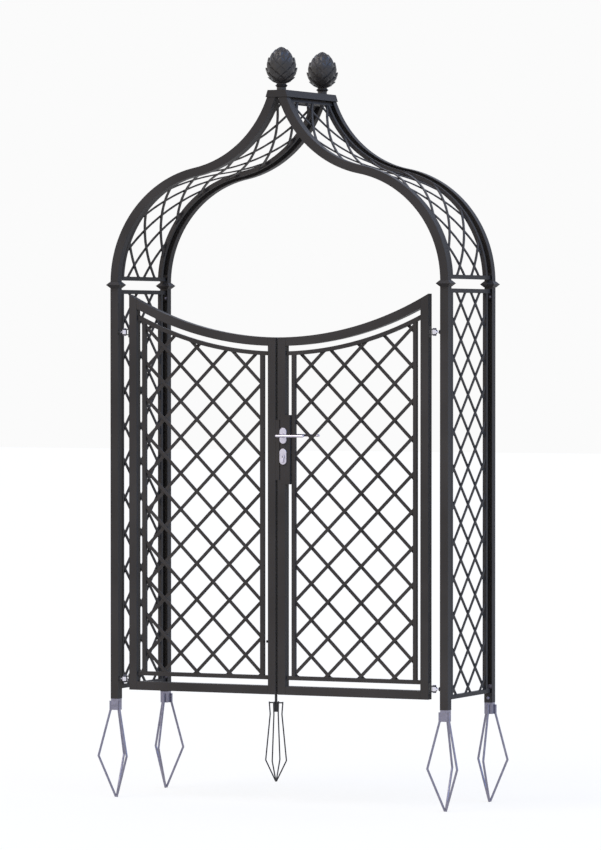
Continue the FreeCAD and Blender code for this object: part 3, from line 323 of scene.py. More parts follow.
def galvanised():
    # Zinc with crystal spangle, dull patches and fine runs down the rods.
    material, tree = new_material("galvanised finish")
    if tree is None:
        return material
    finish = bpy.context.scene.arch_finish
    point = object_point(tree)
    spangle = node_of(tree, "ShaderNodeTexVoronoi", "Color", Vector=point, Scale=1.0 / finish.spangle)
    tone = node_of(tree, "ShaderNodeRGBToBW", Color=spangle)
    dull = noise(tree, point, scale=22.0, detail=4.0)
    runs = noise(tree, object_point(tree, (1.0, 1.0, 0.12)), scale=260.0, detail=2.0)
    facets = blend_colours(tree, tone, shade(finish.zinc, 0.80), shade(finish.zinc, 1.22))
    worn = blend_colours(tree, spread(tree, dull, 0.0, 0.6), facets, shade(finish.zinc, 0.88))
    set_shader(tree, Metallic=0.75, Roughness=spread(tree, dull, 0.34, 0.5), Base_Color=worn,
               Normal=bump(tree, (tone, 0.02 * MM), (runs, 0.05 * MM)))
    return material


def brushed(name, colour, roughness, along):
    # Metal with fine brush lines; along scales the pattern down in the brush's direction.
    material, tree = new_material(name)
    if tree is None:
        return material
    lines = noise(tree, object_point(tree, along), scale=1800.0, detail=3.0, roughness=0.6)
    clouds = noise(tree, object_point(tree), scale=45.0, detail=3.0)
    set_shader(tree, Metallic=1.0, Roughness=spread(tree, clouds, *roughness),
               Base_Color=blend_colours(tree, spread(tree, clouds), shade(colour, 0.92), shade(colour, 1.06)),
               Normal=bump(tree, (lines, 0.004 * MM)))
    return material


def satin_lever():
    return brushed("satin lever finish", bpy.context.scene.arch_finish.satin, (0.24, 0.36), (0.06, 1.0, 1.0))


def satin_rose():
    return brushed("satin rose finish", bpy.context.scene.arch_finish.satin, (0.34, 0.46), (1.0, 1.0, 0.06))


def bright_zinc():
    return brushed("bright zinc finish", bpy.context.scene.arch_finish.bright, (0.22, 0.34), (1.0, 1.0, 1.0))


FINISHES = {
    "powder_coat": powder_coat,
    "cast_aluminium": cast_coat,
    "zinc": galvanised,
    "black_steel": black_steel,
    "satin_steel": satin_lever,
    "nickel": satin_rose,
    "bright_steel": bright_zinc,
}


def paint(piece, material):
    piece.data.materials.clear()
    piece.data.materials.append(material)


# Meshes

def add_object(name, mesh):
    piece = bpy.data.objects.new(name, mesh)
    bpy.context.scene.collection.objects.link(piece)
    return piece


def write_mesh(work, mesh):
    # Ends the work on a mesh by writing it down.
    work.to_mesh(mesh)
    work.free()
    return mesh


def mesh_from(work, name):
    bmesh.ops.recalc_face_normals(work, faces=work.faces)
    return write_mesh(work, bpy.data.meshes.new(name))


def smooth(mesh, degrees):
    mesh.shade_smooth()
    mesh.set_sharp_from_angle(angle=math.radians(degrees))


def cleaned(node):
    # The node's triangles as one skin.
    work = bmesh.new()
    work.from_mesh(nodes[node].data)
    bmesh.ops.remove_doubles(work, verts=work.verts, dist=MERGE)
    bmesh.ops.dissolve_degenerate(work, edges=work.edges, dist=MERGE)
    return work


def area_of(mesh):
    # Summed over the triangles that the faces are drawn with.
    mesh.calc_loop_triangles()
    return sum(triangle.area for triangle in mesh.loop_triangles)


def merged_copy(node, whole_faces=True):
    work = cleaned(node)
    if whole_faces:
        bmesh.ops.dissolve_limit(work, angle_limit=FLAT, verts=work.verts, edges=work.edges)
    mesh = write_mesh(work, bpy.data.meshes.new(node + "_finish"))
    for layer in ("custom_normal", "sharp_face", "sharp_edge"):
        if layer in mesh.attributes:
            mesh.attributes.remove(mesh.attributes[layer])
    return mesh


def settle(piece):
    # Turns a piece's modifiers into its mesh.
    graph = bpy.context.evaluated_depsgraph_get()
    mesh = bpy.data.meshes.new_from_object(piece.evaluated_get(graph))
    mesh.name = piece.name
    piece.modifiers.clear()
    piece.data = mesh
    return piece


def slot_of(node):
    return next(part["material_slot"] for part in frame["record"]["subparts"] if part["node"] == node)


def body_with(node):
    return nodes[node]["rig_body"]


# Geometry Nodes

def grow_tree(name, sockets):
    # A tree whose inputs after the geometry are (name, kind of socket, default).
    tree = bpy.data.node_groups.get(name)
    if tree is not None:
        return tree, False
    tree = bpy.data.node_groups.new(name, "GeometryNodeTree")
    tree.interface.new_socket("Geometry", in_out="INPUT", socket_type="NodeSocketGeometry")
    for label, kind, default in sockets:
        socket = tree.interface.new_socket(label, in_out="INPUT", socket_type="NodeSocket" + kind)
        if default is not None:
            socket.default_value = default
    tree.interface.new_socket("Geometry", in_out="OUTPUT", socket_type="NodeSocketGeometry")
    return tree, True


def vector_of(tree, x, y, z):
    return node_of(tree, "ShaderNodeCombineXYZ", X=x, Y=y, Z=z)


def named(tree, name, kind):
    return node_of(tree, "GeometryNodeInputNamedAttribute", "Attribute", {"data_type": kind}, Name=name)


def join(tree, *shapes):
    both = tree.nodes.new("GeometryNodeJoinGeometry")
    for shape in shapes:
        tree.links.new(shape, both.inputs[0])
    return both.outputs[0]


def end_tree(tree, geometry, material):
    # Every tree ends in real meshes with their finish.
    real = node_of(tree, "GeometryNodeRealizeInstances", Geometry=geometry)
    done = node_of(tree, "GeometryNodeSetMaterial", Geometry=real, Material=material)
    tree.links.new(done, tree.nodes.new("NodeGroupOutput").inputs[0])


def grow(name, mesh, tree, values):
    # Runs a tree on a mesh and gives the piece as a plain mesh.
    piece = add_object(name, mesh)
    modifier = piece.modifiers.new(tree.name, "NODES")
    modifier.node_group = tree
    for item in tree.interface.items_tree:
        if item.item_type == "SOCKET" and item.in_out == "INPUT" and item.name in values:
            modifier[item.identifier] = values[item.name]
    return settle(piece)


def bead_tree():
    # Weld beads: every edge of the mesh becomes an uneven rippled bead.
    tree, is_new = grow_tree("rippled weld", [
        ("Bead radius", "Float", 0.002), ("Ripple pitch", "Float", 0.003), ("Narrow", "Float", 0.85),
        ("Ripple depth", "Float", 0.22), ("Unevenness", "Float", 0.25), ("Sides", "Int", 6),
        ("Seed", "Int", 7), ("Material", "Material", None)])
    if not is_new:
        return tree
    given = tree.nodes.new("NodeGroupInput").outputs
    plus, less, times, over = sums(tree)
    path = node_of(tree, "GeometryNodeMeshToCurve", Mesh=given["Geometry"])
    points = node_of(tree, "GeometryNodeResampleCurve", "Curve", {"mode": "LENGTH"},
                     Curve=path, Length=over(given["Ripple pitch"], 2))
    chance = tree.nodes.new("FunctionNodeRandomValue")
    chance.data_type = "FLOAT"
    tree.links.new(less(1.0, given["Unevenness"]), chance.inputs[2])
    tree.links.new(plus(1.0, given["Unevenness"]), chance.inputs[3])
    tree.links.new(given["Seed"], chance.inputs["Seed"])
    ripple = calc(tree, "PINGPONG", node_of(tree, "GeometryNodeInputIndex"), 1.0)
    ripple = plus(times(ripple, given["Ripple depth"]), given["Narrow"])
    width = times(chance.outputs[1], times(ripple, given["Bead radius"]))
    round_face = node_of(tree, "GeometryNodeCurvePrimitiveCircle", Resolution=given["Sides"], Radius=1.0)
    bead = node_of(tree, "GeometryNodeCurveToMesh", Curve=points, Profile_Curve=round_face, Scale=width,
                   Fill_Caps=True)
    end_tree(tree, bead, given["Material"])
    return tree


def thread_tree():
    # A screw thread round the Z axis at every point of the mesh.
    tree, is_new = grow_tree("screw thread", [
        ("Core radius", "Float", 0.005), ("Length", "Float", 0.018), ("Pitch", "Float", 0.0015),
        ("Crest", "Float", 0.0006), ("Crest sides", "Int", 4), ("Steps in a turn", "Int", 20),
        ("Material", "Material", None)])
    if not is_new:
        return tree
    given = tree.nodes.new("NodeGroupInput").outputs
    turns = calc(tree, "DIVIDE", given["Length"], given["Pitch"])
    core = given["Core radius"]
    helix = node_of(tree, "GeometryNodeCurveSpiral", "Curve", Resolution=given["Steps in a turn"],
                    Rotations=turns, Start_Radius=core, End_Radius=core, Height=given["Length"])
    ridge = node_of(tree, "GeometryNodeCurvePrimitiveCircle", Resolution=given["Crest sides"],
                    Radius=given["Crest"])
    thread = node_of(tree, "GeometryNodeCurveToMesh", Curve=helix, Profile_Curve=ridge, Fill_Caps=True)
    copies = node_of(tree, "GeometryNodeInstanceOnPoints", Points=given["Geometry"], Instance=thread)
    end_tree(tree, copies, given["Material"])
    return tree


def screw_tree():
    # At every point of the mesh a screw: another object's mesh as its head, and a shank behind it.
    tree, is_new = grow_tree("screws in places", [
        ("Head", "Object", None), ("Shank radius", "Float", 0.004), ("Sides", "Int", 24),
        ("Material", "Material", None)])
    if not is_new:
        return tree
    given = tree.nodes.new("NodeGroupInput").outputs
    head = node_of(tree, "GeometryNodeObjectInfo", "Geometry", Object=given["Head"])
    turn = node_of(tree, "FunctionNodeAlignRotationToVector", "Rotation", {"axis": "Z"},
                   Vector=named(tree, "aim", "FLOAT_VECTOR"))
    rod = node_of(tree, "GeometryNodeMeshCylinder", Vertices=given["Sides"], Radius=given["Shank radius"],
                  Depth=1.0)
    rod = node_of(tree, "GeometryNodeSetPosition", Geometry=rod, Offset=(0.0, 0.0, -0.5))
    copies = [
        node_of(tree, "GeometryNodeInstanceOnPoints", Points=given["Geometry"], Instance=shape, Rotation=turn,
                Scale=vector_of(tree, 1.0, 1.0, size))
        for shape, size in ((head, 1.0), (rod, named(tree, "reach", "FLOAT")))]
    end_tree(tree, join(tree, *copies), given["Material"])
    return tree


def cone_tree():
    # Scales laid out in rows on a flat strip, which is then wrapped round an oval cone.
    # On the strip X counts half scales, Y counts rows and Z is the height off the cone, as a share.
    tree, is_new = grow_tree("rows of scales", [
        ("Rows", "Int", 8), ("Scales", "Int", 8), ("Height", "Float", 0.16), ("Radius", "Float", 0.07),
        ("Foot radius", "Float", 0.024), ("Belly height", "Float", 0.06), ("Oval", "Float", 0.65),
        ("Core depth", "Float", 0.1), ("Core columns", "Int", 3), ("Core lines", "Int", 4),
        ("Flatter top", "Float", 0.2), ("Material", "Material", None)])
    if not is_new:
        return tree
    given = tree.nodes.new("NodeGroupInput").outputs
    plus, less, times, over = sums(tree)
    last = plus(given["Rows"], 1)
    index = node_of(tree, "GeometryNodeInputIndex")
    row = plus(calc(tree, "FLOOR", over(index, given["Scales"])), 1)
    half_turn = calc(tree, "MODULO", plus(row, 1), 2)
    step = plus(times(calc(tree, "MODULO", index, given["Scales"]), 2), half_turn)
    line = node_of(tree, "GeometryNodeMeshLine", Count=times(last, given["Scales"]))
    seats = node_of(tree, "GeometryNodeSetPosition", Geometry=line, Position=vector_of(tree, step, row, 0.0))
    copies = node_of(tree, "GeometryNodeInstanceOnPoints", Points=seats, Instance=given["Geometry"])
    scales = node_of(tree, "GeometryNodeRealizeInstances", Geometry=copies)
    around = times(given["Scales"], 2)
    core = node_of(tree, "GeometryNodeMeshGrid", Size_X=around, Size_Y=last,
                   Vertices_X=plus(times(around, given["Core columns"]), 1),
                   Vertices_Y=plus(times(last, given["Core lines"]), 1))
    to_middle = vector_of(tree, given["Scales"], over(last, 2), times(given["Core depth"], -1.0))
    core = node_of(tree, "GeometryNodeSetPosition", Geometry=core, Offset=to_middle)
    strip = join(tree, scales, core)
    parts = tree.nodes.new("ShaderNodeSeparateXYZ")
    tree.links.new(node_of(tree, "GeometryNodeInputPosition"), parts.inputs[0])
    angle = over(times(parts.outputs["X"], math.pi), given["Scales"])
    # Rows crowd a little towards the foot and the top: half even steps, half a wave.
    share = over(calc(tree, "MINIMUM", calc(tree, "MAXIMUM", parts.outputs["Y"], 0.0), last), last)
    wave = times(less(1.0, calc(tree, "COSINE", times(share, math.pi))), 0.25)
    height = times(given["Height"], plus(times(share, 0.5), wave))
    # Above and below the belly the outline follows an oval.
    past = less(height, given["Belly height"])
    above = over(past, less(given["Height"], given["Belly height"]))
    below = over(times(past, -1.0), given["Belly height"])
    off = calc(tree, "MAXIMUM", above, below)
    foot = times(given["Foot radius"], calc(tree, "LESS_THAN", height, given["Belly height"]))
    round_off = calc(tree, "POWER", calc(tree, "MAXIMUM", less(1.0, times(off, off)), 0.0), given["Oval"])
    reach = plus(foot, times(less(given["Radius"], foot), round_off))
    # Scales stand off nearly as far on the narrow top as on the belly.
    slim = calc(tree, "POWER", over(reach, given["Radius"]), given["Flatter top"])
    lift = times(times(parts.outputs["Z"], given["Radius"]), slim)
    reach = calc(tree, "MAXIMUM", plus(reach, lift), 0.0)
    place = vector_of(tree, times(reach, calc(tree, "COSINE", angle)),
                      times(reach, calc(tree, "SINE", angle)), height)
    wrapped = node_of(tree, "GeometryNodeSetPosition", Geometry=strip, Position=place)
    end_tree(tree, wrapped, given["Material"])
    return tree


# Pieces made from the frame's nodes

def round_edges(piece, width, segments):
    piece.data.shade_smooth()
    edge = piece.modifiers.new("rounded edges", "BEVEL")
    edge.limit_method = "ANGLE"
    edge.angle_limit = ROUND_FROM
    edge.width = width
    edge.segments = segments
    edge.miter_outer = "MITER_ARC"
    edge.use_clamp_overlap = True
    edge.harden_normals = True
    settle(piece)


def rounded(node, width, material=None, segments=2):
    # A copy of a CAD piece with its edges rounded, which stands for the piece.
    piece = add_object(node + "_finish", merged_copy(node))
    round_edges(piece, width, segments)
    if area_of(piece.data) > MOST_AREA * area_of(nodes[node].data):
        # A whole face round a window was closed, so its triangles stay.
        piece.data = merged_copy(node, False)
        round_edges(piece, width, segments)
    paint(piece, material or FINISHES[slot_of(node)]())
    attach(piece, body_with(node))
    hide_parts(node)
    return piece


def loose_boxes(node):
    # The box of each separate solid of a node, in order of its low corner.
    work = cleaned(node)
    left = set(work.verts)
    boxes = []
    while left:
        island = [left.pop()]
        for vert in island:
            near = {edge.other_vert(vert) for edge in vert.link_edges} & left
            left -= near
            island.extend(near)
        boxes.append(tuple(Vector([pick(vert.co[axis] for vert in island) for axis in range(3)])
                           for pick in (min, max)))
    work.free()
    return sorted(boxes, key=lambda box: tuple(box[0]))


def lathe(work, profile, steps, centre):
    # Turns a profile of (radius, height, sides) round a vertical axis. Radius 0 closes an end,
    # and a ring with sides is a polygon whose flats lie at the radius.
    rings = []
    for radius, height, sides in profile:
        ring = []
        for step in range(steps if radius else 1):
            angle = 2 * math.pi * step / steps
            reach = radius
            if sides:
                half_side = math.pi / sides
                reach = radius / math.cos((angle + half_side) % (2 * half_side) - half_side)
            ring.append(work.verts.new((centre[0] + reach * math.cos(angle),
                                        centre[1] + reach * math.sin(angle), height)))
        rings.append(ring)
    for low, high in zip(rings, rings[1:]):
        for step in range(steps):
            after = (step + 1) % steps
            corners = [ring[place % len(ring)]
                       for ring, place in ((low, step), (low, after), (high, after), (high, step))]
            work.faces.new(list(dict.fromkeys(corners)))


def joined(name, meshes):
    work = bmesh.new()
    for mesh in meshes:
        work.from_mesh(mesh)
    for face in work.faces:
        face.material_index = 0
    return write_mesh(work, bpy.data.meshes.new(name))


def path_mesh(name, edges):
    mesh = bpy.data.meshes.new(name)
    points = [point for edge in edges for point in edge]
    mesh.from_pydata(points, [(2 * index, 2 * index + 1) for index in range(len(edges))], [])
    work = bmesh.new()
    work.from_mesh(mesh)
    bmesh.ops.remove_doubles(work, verts=work.verts, dist=2 * MERGE)
    return write_mesh(work, mesh)


def sharp_edges(work):
    return [edge for edge in work.edges
            if len(edge.link_faces) == 2 and edge.calc_face_angle(0.0) > WELD_CORNER]


def seam_edges(node, onto):
    # The outlines of a lattice's bar ends, where they stand on a frame.
    skin = cleaned(onto)
    tree = BVHTree.FromBMesh(skin)
    work = cleaned(node)
    edges = []
    for edge in sharp_edges(work):
        start, end = (vert.co.copy() for vert in edge.verts)
        if all(tree.find_nearest(point)[3] < WELD_REACH for point in (start, (start + end) / 2, end)):
            edges.append((start, end))
    work.free()
    skin.free()
    return edges


def inner_corners(node):
    # The hollow corners of a node, where two of its welded parts meet.
    work = cleaned(node)
    edges = [tuple(vert.co.copy() for vert in edge.verts) for edge in sharp_edges(work) if not edge.is_convex]
    work.free()
    return edges


def add_welds(name, edges, body, material):
    weld = bpy.context.scene.arch_weld
    piece = grow(name, path_mesh(name, edges), bead_tree(), {
        "Bead radius": weld.radius, "Ripple pitch": weld.pitch, "Seed": weld.seed, "Material": material})
    smooth(piece.data, WELD_SMOOTH_DEGREES)
    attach(piece, body)


# Stage

def add_lamp(name, place, strength, softness, colour):
    # A wide soft lamp, far off, that lights the whole floor evenly.
    data = bpy.data.lights.new(name, "SUN")
    data.energy = strength
    data.angle = math.radians(softness)
    data.color = colour
    lamp = bpy.data.objects.new(name, data)
    lamp.location = place
    lamp.rotation_euler = (-Vector(place)).to_track_quat("-Z", "Y").to_euler()
    bpy.context.scene.collection.objects.link(lamp)


def show_rays(tree):
    # 1 for rays that show the background itself: camera, gloss and transmission.
    rays = tree.nodes.new("ShaderNodeLightPath").outputs
    shown = calc(tree, "MAXIMUM", rays["Is Camera Ray"], rays["Is Glossy Ray"])
    return calc(tree, "MAXIMUM", shown, rays["Is Transmission Ray"])


def mix_shaders(tree, share, first, second, end):
    # Blends two shaders into the surface of the tree's end node.
    mix = tree.nodes.new("ShaderNodeMixShader")
    for shader, socket in zip((share, first, second), mix.inputs):
        tree.links.new(shader, socket)
    tree.links.new(mix.outputs["Shader"], tree.nodes[end].inputs["Surface"])


class GARDENARCH_OT_stage(bpy.types.Operator):
    """Floor, backdrop, lamps and the camera at the photograph's angle"""

    bl_idname = "gardenarch.stage"
    bl_label = "Stage"

    camera_place = (9.1572, -19.654, 1.6216)
    camera_pitch = 1.044
    camera_turn = 25.0
    camera_lens = 206.43
    camera_film = 36.0
    camera_sight = 200.0
    floor_half = 60.0
    floor_glow = 0.80
    # Degrees over the horizon at which a change of the sky starts and ends.
    tint_band = (20.0, 80.0)
    pale_band = (7.0, 16.0)
    dim_band = (32.0, 78.0)
    lamp_softness = 40.0
    front_place = (-4.0, -7.0, 8.0)
    front_tint = (1.16, 1.05, 0.94)
    side_place = (8.0, -2.0, 6.5)
    side_tint = (0.10, 0.60, 1.60)

    def execute(self, context):
        scene = context.scene
        stage = scene.arch_stage
        scene.view_settings.view_transform = "Standard"
        self.add_camera(scene)
        self.add_floor(stage)
        self.add_world(scene, stage)
        add_lamp("front lamp", self.front_place, stage.key, self.lamp_softness, self.front_tint)
        add_lamp("side lamp", self.side_place, stage.fill, self.lamp_softness, self.side_tint)
        return {"FINISHED"}

    def add_camera(self, scene):
        data = bpy.data.cameras.new("camera")
        data.lens = self.camera_lens
        data.sensor_width = self.camera_film
        data.clip_end = self.camera_sight
        camera = bpy.data.objects.new("camera", data)
        camera.location = self.camera_place
        camera.rotation_euler = (math.radians(90.0 - self.camera_pitch), 0.0, math.radians(self.camera_turn))
        scene.collection.objects.link(camera)
        scene.camera = camera

    def add_floor(self, stage):
        # What shows of the floor glows a little, and what it throws back is dimmer.
        work = bmesh.new()
        bmesh.ops.create_grid(work, x_segments=1, y_segments=1, size=self.floor_half)
        bmesh.ops.translate(work, verts=work.verts, vec=(0.0, 0.0, cad_box[0].z))
        floor = add_object("floor", write_mesh(work, bpy.data.meshes.new("floor")))
        material, tree = new_material("pale floor")
        shown = show_rays(tree)
        colour = blend_colours(tree, shown, shade(stage.bounce), shade(stage.floor))
        matt = set_shader(tree, Base_Color=colour, Roughness=1.0, Specular_IOR_Level=0.0)
        glow = node_of(tree, "ShaderNodeEmission", Color=shade(stage.floor))
        mix_shaders(tree, calc(tree, "MULTIPLY", shown, self.floor_glow), matt, glow, "Material Output")
        paint(floor, material)

    def add_world(self, scene, stage):
        # Even light from all round; what shows is pale, and dims overhead.
        world = bpy.data.worlds.new("soft sky")
        world.use_nodes = True
        tree = world.node_tree
        way = node_of(tree, "ShaderNodeTexCoord", "Generated")
        height = node_of(tree, "ShaderNodeSeparateXYZ", "Z", Vector=way)
        light = blend_colours(tree, self.rise(tree, height, self.tint_band), shade((1.0, 1.0, 1.0)),
                              [*stage.overhead, 1.0])
        pale = blend_colours(tree, self.rise(tree, height, self.pale_band), shade(stage.floor),
                             [*stage.middle, 1.0])
        shown = blend_colours(tree, self.rise(tree, height, self.dim_band), pale, shade(stage.ceiling))
        feed(tree, tree.nodes["Background"], {"Color": light, "Strength": stage.sky})
        mix_shaders(tree, show_rays(tree), tree.nodes["Background"].outputs[0],
                    node_of(tree, "ShaderNodeBackground", Color=shown), "World Output")
        scene.world = world

    def rise(self, tree, height, band):
        # 0 below the band's first angle over the horizon and 1 above its last.
        start, end = (math.sin(math.radians(angle)) for angle in band)
        return node_of(tree, "ShaderNodeMapRange", "Result", {"interpolation_type": "SMOOTHSTEP"},
                       Value=height, From_Min=start, From_Max=end)


# Posts, arcs and panels

class GARDENARCH_OT_posts(bpy.types.Operator):
    """Posts and arcs with the rounded corners of rolled channel"""

    bl_idname = "gardenarch.posts"
    bl_label = "Posts and arcs"

    def execute(self, context):
        edges = context.scene.arch_edges
        for place in PLACES:
            rounded("post_" + place, edges.channel)
            rounded("arc_" + place, edges.channel)
        rounded("post_collars", edges.bar)
        rounded("ridge_cap", edges.channel)
        for node in ("post_connectors", "foot_spacers"):
            rounded(node, edges.fitting)
        return {"FINISHED"}


class GARDENARCH_OT_panels(bpy.types.Operator):
    """Side panels and arc panels with their lattices"""

    bl_idname = "gardenarch.panels"
    bl_label = "Side and arc panels"

    def execute(self, context):
        edges = context.scene.arch_edges
        for side in SIDES:
            for kind in ("side", "arc"):
                rounded(kind + "_frame_" + side, edges.bar)
                rounded(kind + "_lattice_" + side, edges.lattice)
        return {"FINISHED"}


class GARDENARCH_OT_leaves(bpy.types.Operator):
    """Gate leaves: stiles, rails, inner frames and lattices"""

    bl_idname = "gardenarch.leaves"
    bl_label = "Gate leaves"

    def execute(self, context):
        edges = context.scene.arch_edges
        for side in SIDES:
            for name in ("hinge_stile", "meeting_stile", "top_rail", "bottom_rail"):
                rounded(side + "_" + name, edges.tube)
            rounded(side + "_inner_frame", edges.bar)
            rounded(side + "_lattice", edges.lattice)
        return {"FINISHED"}


class GARDENARCH_OT_anchors(bpy.types.Operator):
    """Ground anchors of galvanised steel and the drop bolt's socket"""

    bl_idname = "gardenarch.anchors"
    bl_label = "Ground anchors"

    def execute(self, context):
        edges = context.scene.arch_edges
        for place in PLACES:
            rounded("anchor_" + place, edges.fitting)
        rounded("ground_socket", edges.fitting)
        return {"FINISHED"}


class GARDENARCH_OT_welds(bpy.types.Operator):
    """Weld beads of the lattices and of the anchors' heads"""

    bl_idname = "gardenarch.welds"
    bl_label = "Welds"

    head_depth = 100 * MM

    def execute(self, context):
        arch = []
        for side in SIDES:
            for kind in ("side", "arc"):
                arch += seam_edges(kind + "_lattice_" + side, kind + "_frame_" + side)
            leaf = seam_edges(side + "_lattice", side + "_inner_frame")
            add_welds(side + "_leaf_welds", leaf, side + "_leaf", powder_coat())
        add_welds("arch_welds", arch, "arch", powder_coat())
        anchors = []
        for place in PLACES:
            anchors += [edge for edge in inner_corners("anchor_" + place) if self.is_head(edge)]
        add_welds("anchor_welds", anchors, "arch", galvanised())
        return {"FINISHED"}

    def is_head(self, edge):
        return all(-self.head_depth < point.z < 0.0 for point in edge)


class GARDENARCH_OT_finials(bpy.types.Operator):
    """Pine cone finials with overlapping keeled scales on a ringed neck"""

    bl_idname = "gardenarch.finials"
    bl_label = "Finials"

    neck = 21 * MM
    ring = 28 * MM
    neck_height = 13.5 * MM
    ring_height = 14 * MM
    waist = 3 * MM
    stud = 5 * MM
    stud_length = 22 * MM
    soft = 0.8 * MM
    steps = 48
    smooth_degrees = 32.0
    # Pitches of thread left bare on the stud, and the thread's depth as a share of the pitch.
    bare = 4
    crest = 0.4
    # A scale: its mesh, its width and thickness, the fullness of its outline, how its keel falls
    # off sideways and its seat sinks backwards, and how deep the core lies, in lifts.
    columns = 6
    lines = 9
    width = 0.99
    blunt = 0.02
    thickness = 0.090
    shoulder = (2.04, 0.92)
    keel = (0.55, 0.9)
    sink = (1.12, 1.25)
    core_depth = 1.15

    def execute(self, context):
        finial = context.scene.arch_finial
        for row in ("front", "rear"):
            low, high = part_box("finial_" + row)
            self.make_finial("finial_" + row, (low + high) / 2, high.z - finial.height, finial)
        return {"FINISHED"}

    def make_finial(self, node, middle, foot, finial):
        material = cast_coat()
        cone = grow(node + "_cone", self.scale_mesh(finial), cone_tree(), {
            "Rows": finial.rows, "Scales": finial.around, "Height": finial.height, "Radius": finial.radius,
            "Foot radius": finial.foot, "Belly height": finial.belly, "Oval": finial.oval,
            "Core depth": self.core_depth * finial.lift / finial.radius, "Material": material})
        cone.data.transform(Matrix.Translation((middle.x, middle.y, foot)))
        self.close(cone.data)
        neck = self.neck_mesh(node, middle, foot, finial)
        thread = self.thread_mesh(node, middle, foot, finial, material)
        piece = add_object(node + "_finish", joined(node + "_finish", [cone.data, neck, thread]))
        paint(piece, material)
        bpy.data.objects.remove(cone)
        smooth(piece.data, self.smooth_degrees)
        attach(piece, body_with(node))
        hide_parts(node)

    def scale_mesh(self, finial):
        # One keeled scale on the flat strip: its tip at the origin, its seat two rows below.
        lift = finial.lift / finial.radius
        full, full_power = self.shoulder
        keel, keel_power = self.keel
        sink, sink_power = self.sink
        work = bmesh.new()
        layers = []
        for depth in (0.0, self.thickness):
            grid = []
            for line in range(self.lines + 1):
                share = line / self.lines
                taper = min(1.0, 2 * share + self.blunt, full * (1 - share) ** full_power + self.blunt)
                half_width = self.width * taper
                seat = sink * lift * (1 - share) ** sink_power
                row = []
                for column in range(self.columns + 1):
                    across = 2 * column / self.columns - 1
                    fall = keel * lift * abs(across) ** keel_power * half_width
                    row.append(work.verts.new((across * half_width, 2 * (share - 1), -seat - fall - depth)))
                grid.append(row)
            layers.append(grid)
        for grid in layers:
            for low, high in zip(grid, grid[1:]):
                for column in range(self.columns):
                    work.faces.new((low[column], low[column + 1], high[column + 1], high[column]))
        top, under = layers
        rim = [(line, 0) for line in range(self.lines)]
        rim += [(self.lines, column) for column in range(self.columns)]
        rim += [(line, self.columns) for line in range(self.lines, 0, -1)]
        rim += [(0, column) for column in range(self.columns, 0, -1)]
        for (a, b), (c, d) in zip(rim, rim[1:] + rim[:1]):
            work.faces.new((top[a][b], under[a][b], under[c][d], top[c][d]))
        return mesh_from(work, "scale")

    def close(self, mesh):
        # Joins the core's seam, closes its foot and turns every face outwards.
        work = bmesh.new()
        work.from_mesh(mesh)
        bmesh.ops.remove_doubles(work, verts=work.verts, dist=MERGE)
        bmesh.ops.dissolve_degenerate(work, edges=work.edges, dist=MERGE)
        bmesh.ops.holes_fill(work, edges=[edge for edge in work.edges if edge.is_boundary], sides=0)
        bmesh.ops.recalc_face_normals(work, faces=work.faces)
        write_mesh(work, mesh)

    def neck_mesh(self, node, middle, foot, finial):
        ring_top = foot - self.waist
        ring_low = ring_top - self.ring_height
        cap_top = ring_low - self.neck_height
        stud_end = cap_top - self.stud_length
        ring_middle = (ring_low + ring_top) / 2
        soft = self.soft
        profile = [(0.0, stud_end), (self.stud - soft, stud_end), (self.stud, stud_end + soft),
                   (self.stud, cap_top), (self.neck, cap_top), (self.neck, ring_low),
                   (self.ring - soft, ring_middle - soft), (self.ring, ring_middle),
                   (self.ring - soft, ring_middle + soft), (self.neck, ring_top), (self.neck, foot),
                   (finial.foot, foot), (0.0, foot + soft)]
        work = bmesh.new()
        lathe(work, [(radius, height, 0) for radius, height in profile], self.steps, middle)
        return mesh_from(work, node + "_neck")

    def thread_mesh(self, node, middle, foot, finial, material):
        low = foot - self.waist - self.ring_height - self.neck_height - self.stud_length
        point = bpy.data.meshes.new(node + "_thread")
        point.from_pydata([(middle.x, middle.y, low + finial.thread)], [], [])
        piece = grow(node + "_thread", point, thread_tree(), {
            "Core radius": self.stud, "Length": self.stud_length - self.bare * finial.thread,
            "Pitch": finial.thread, "Crest": self.crest * finial.thread, "Material": material})
        mesh = piece.data
        bpy.data.objects.remove(piece)
        return mesh


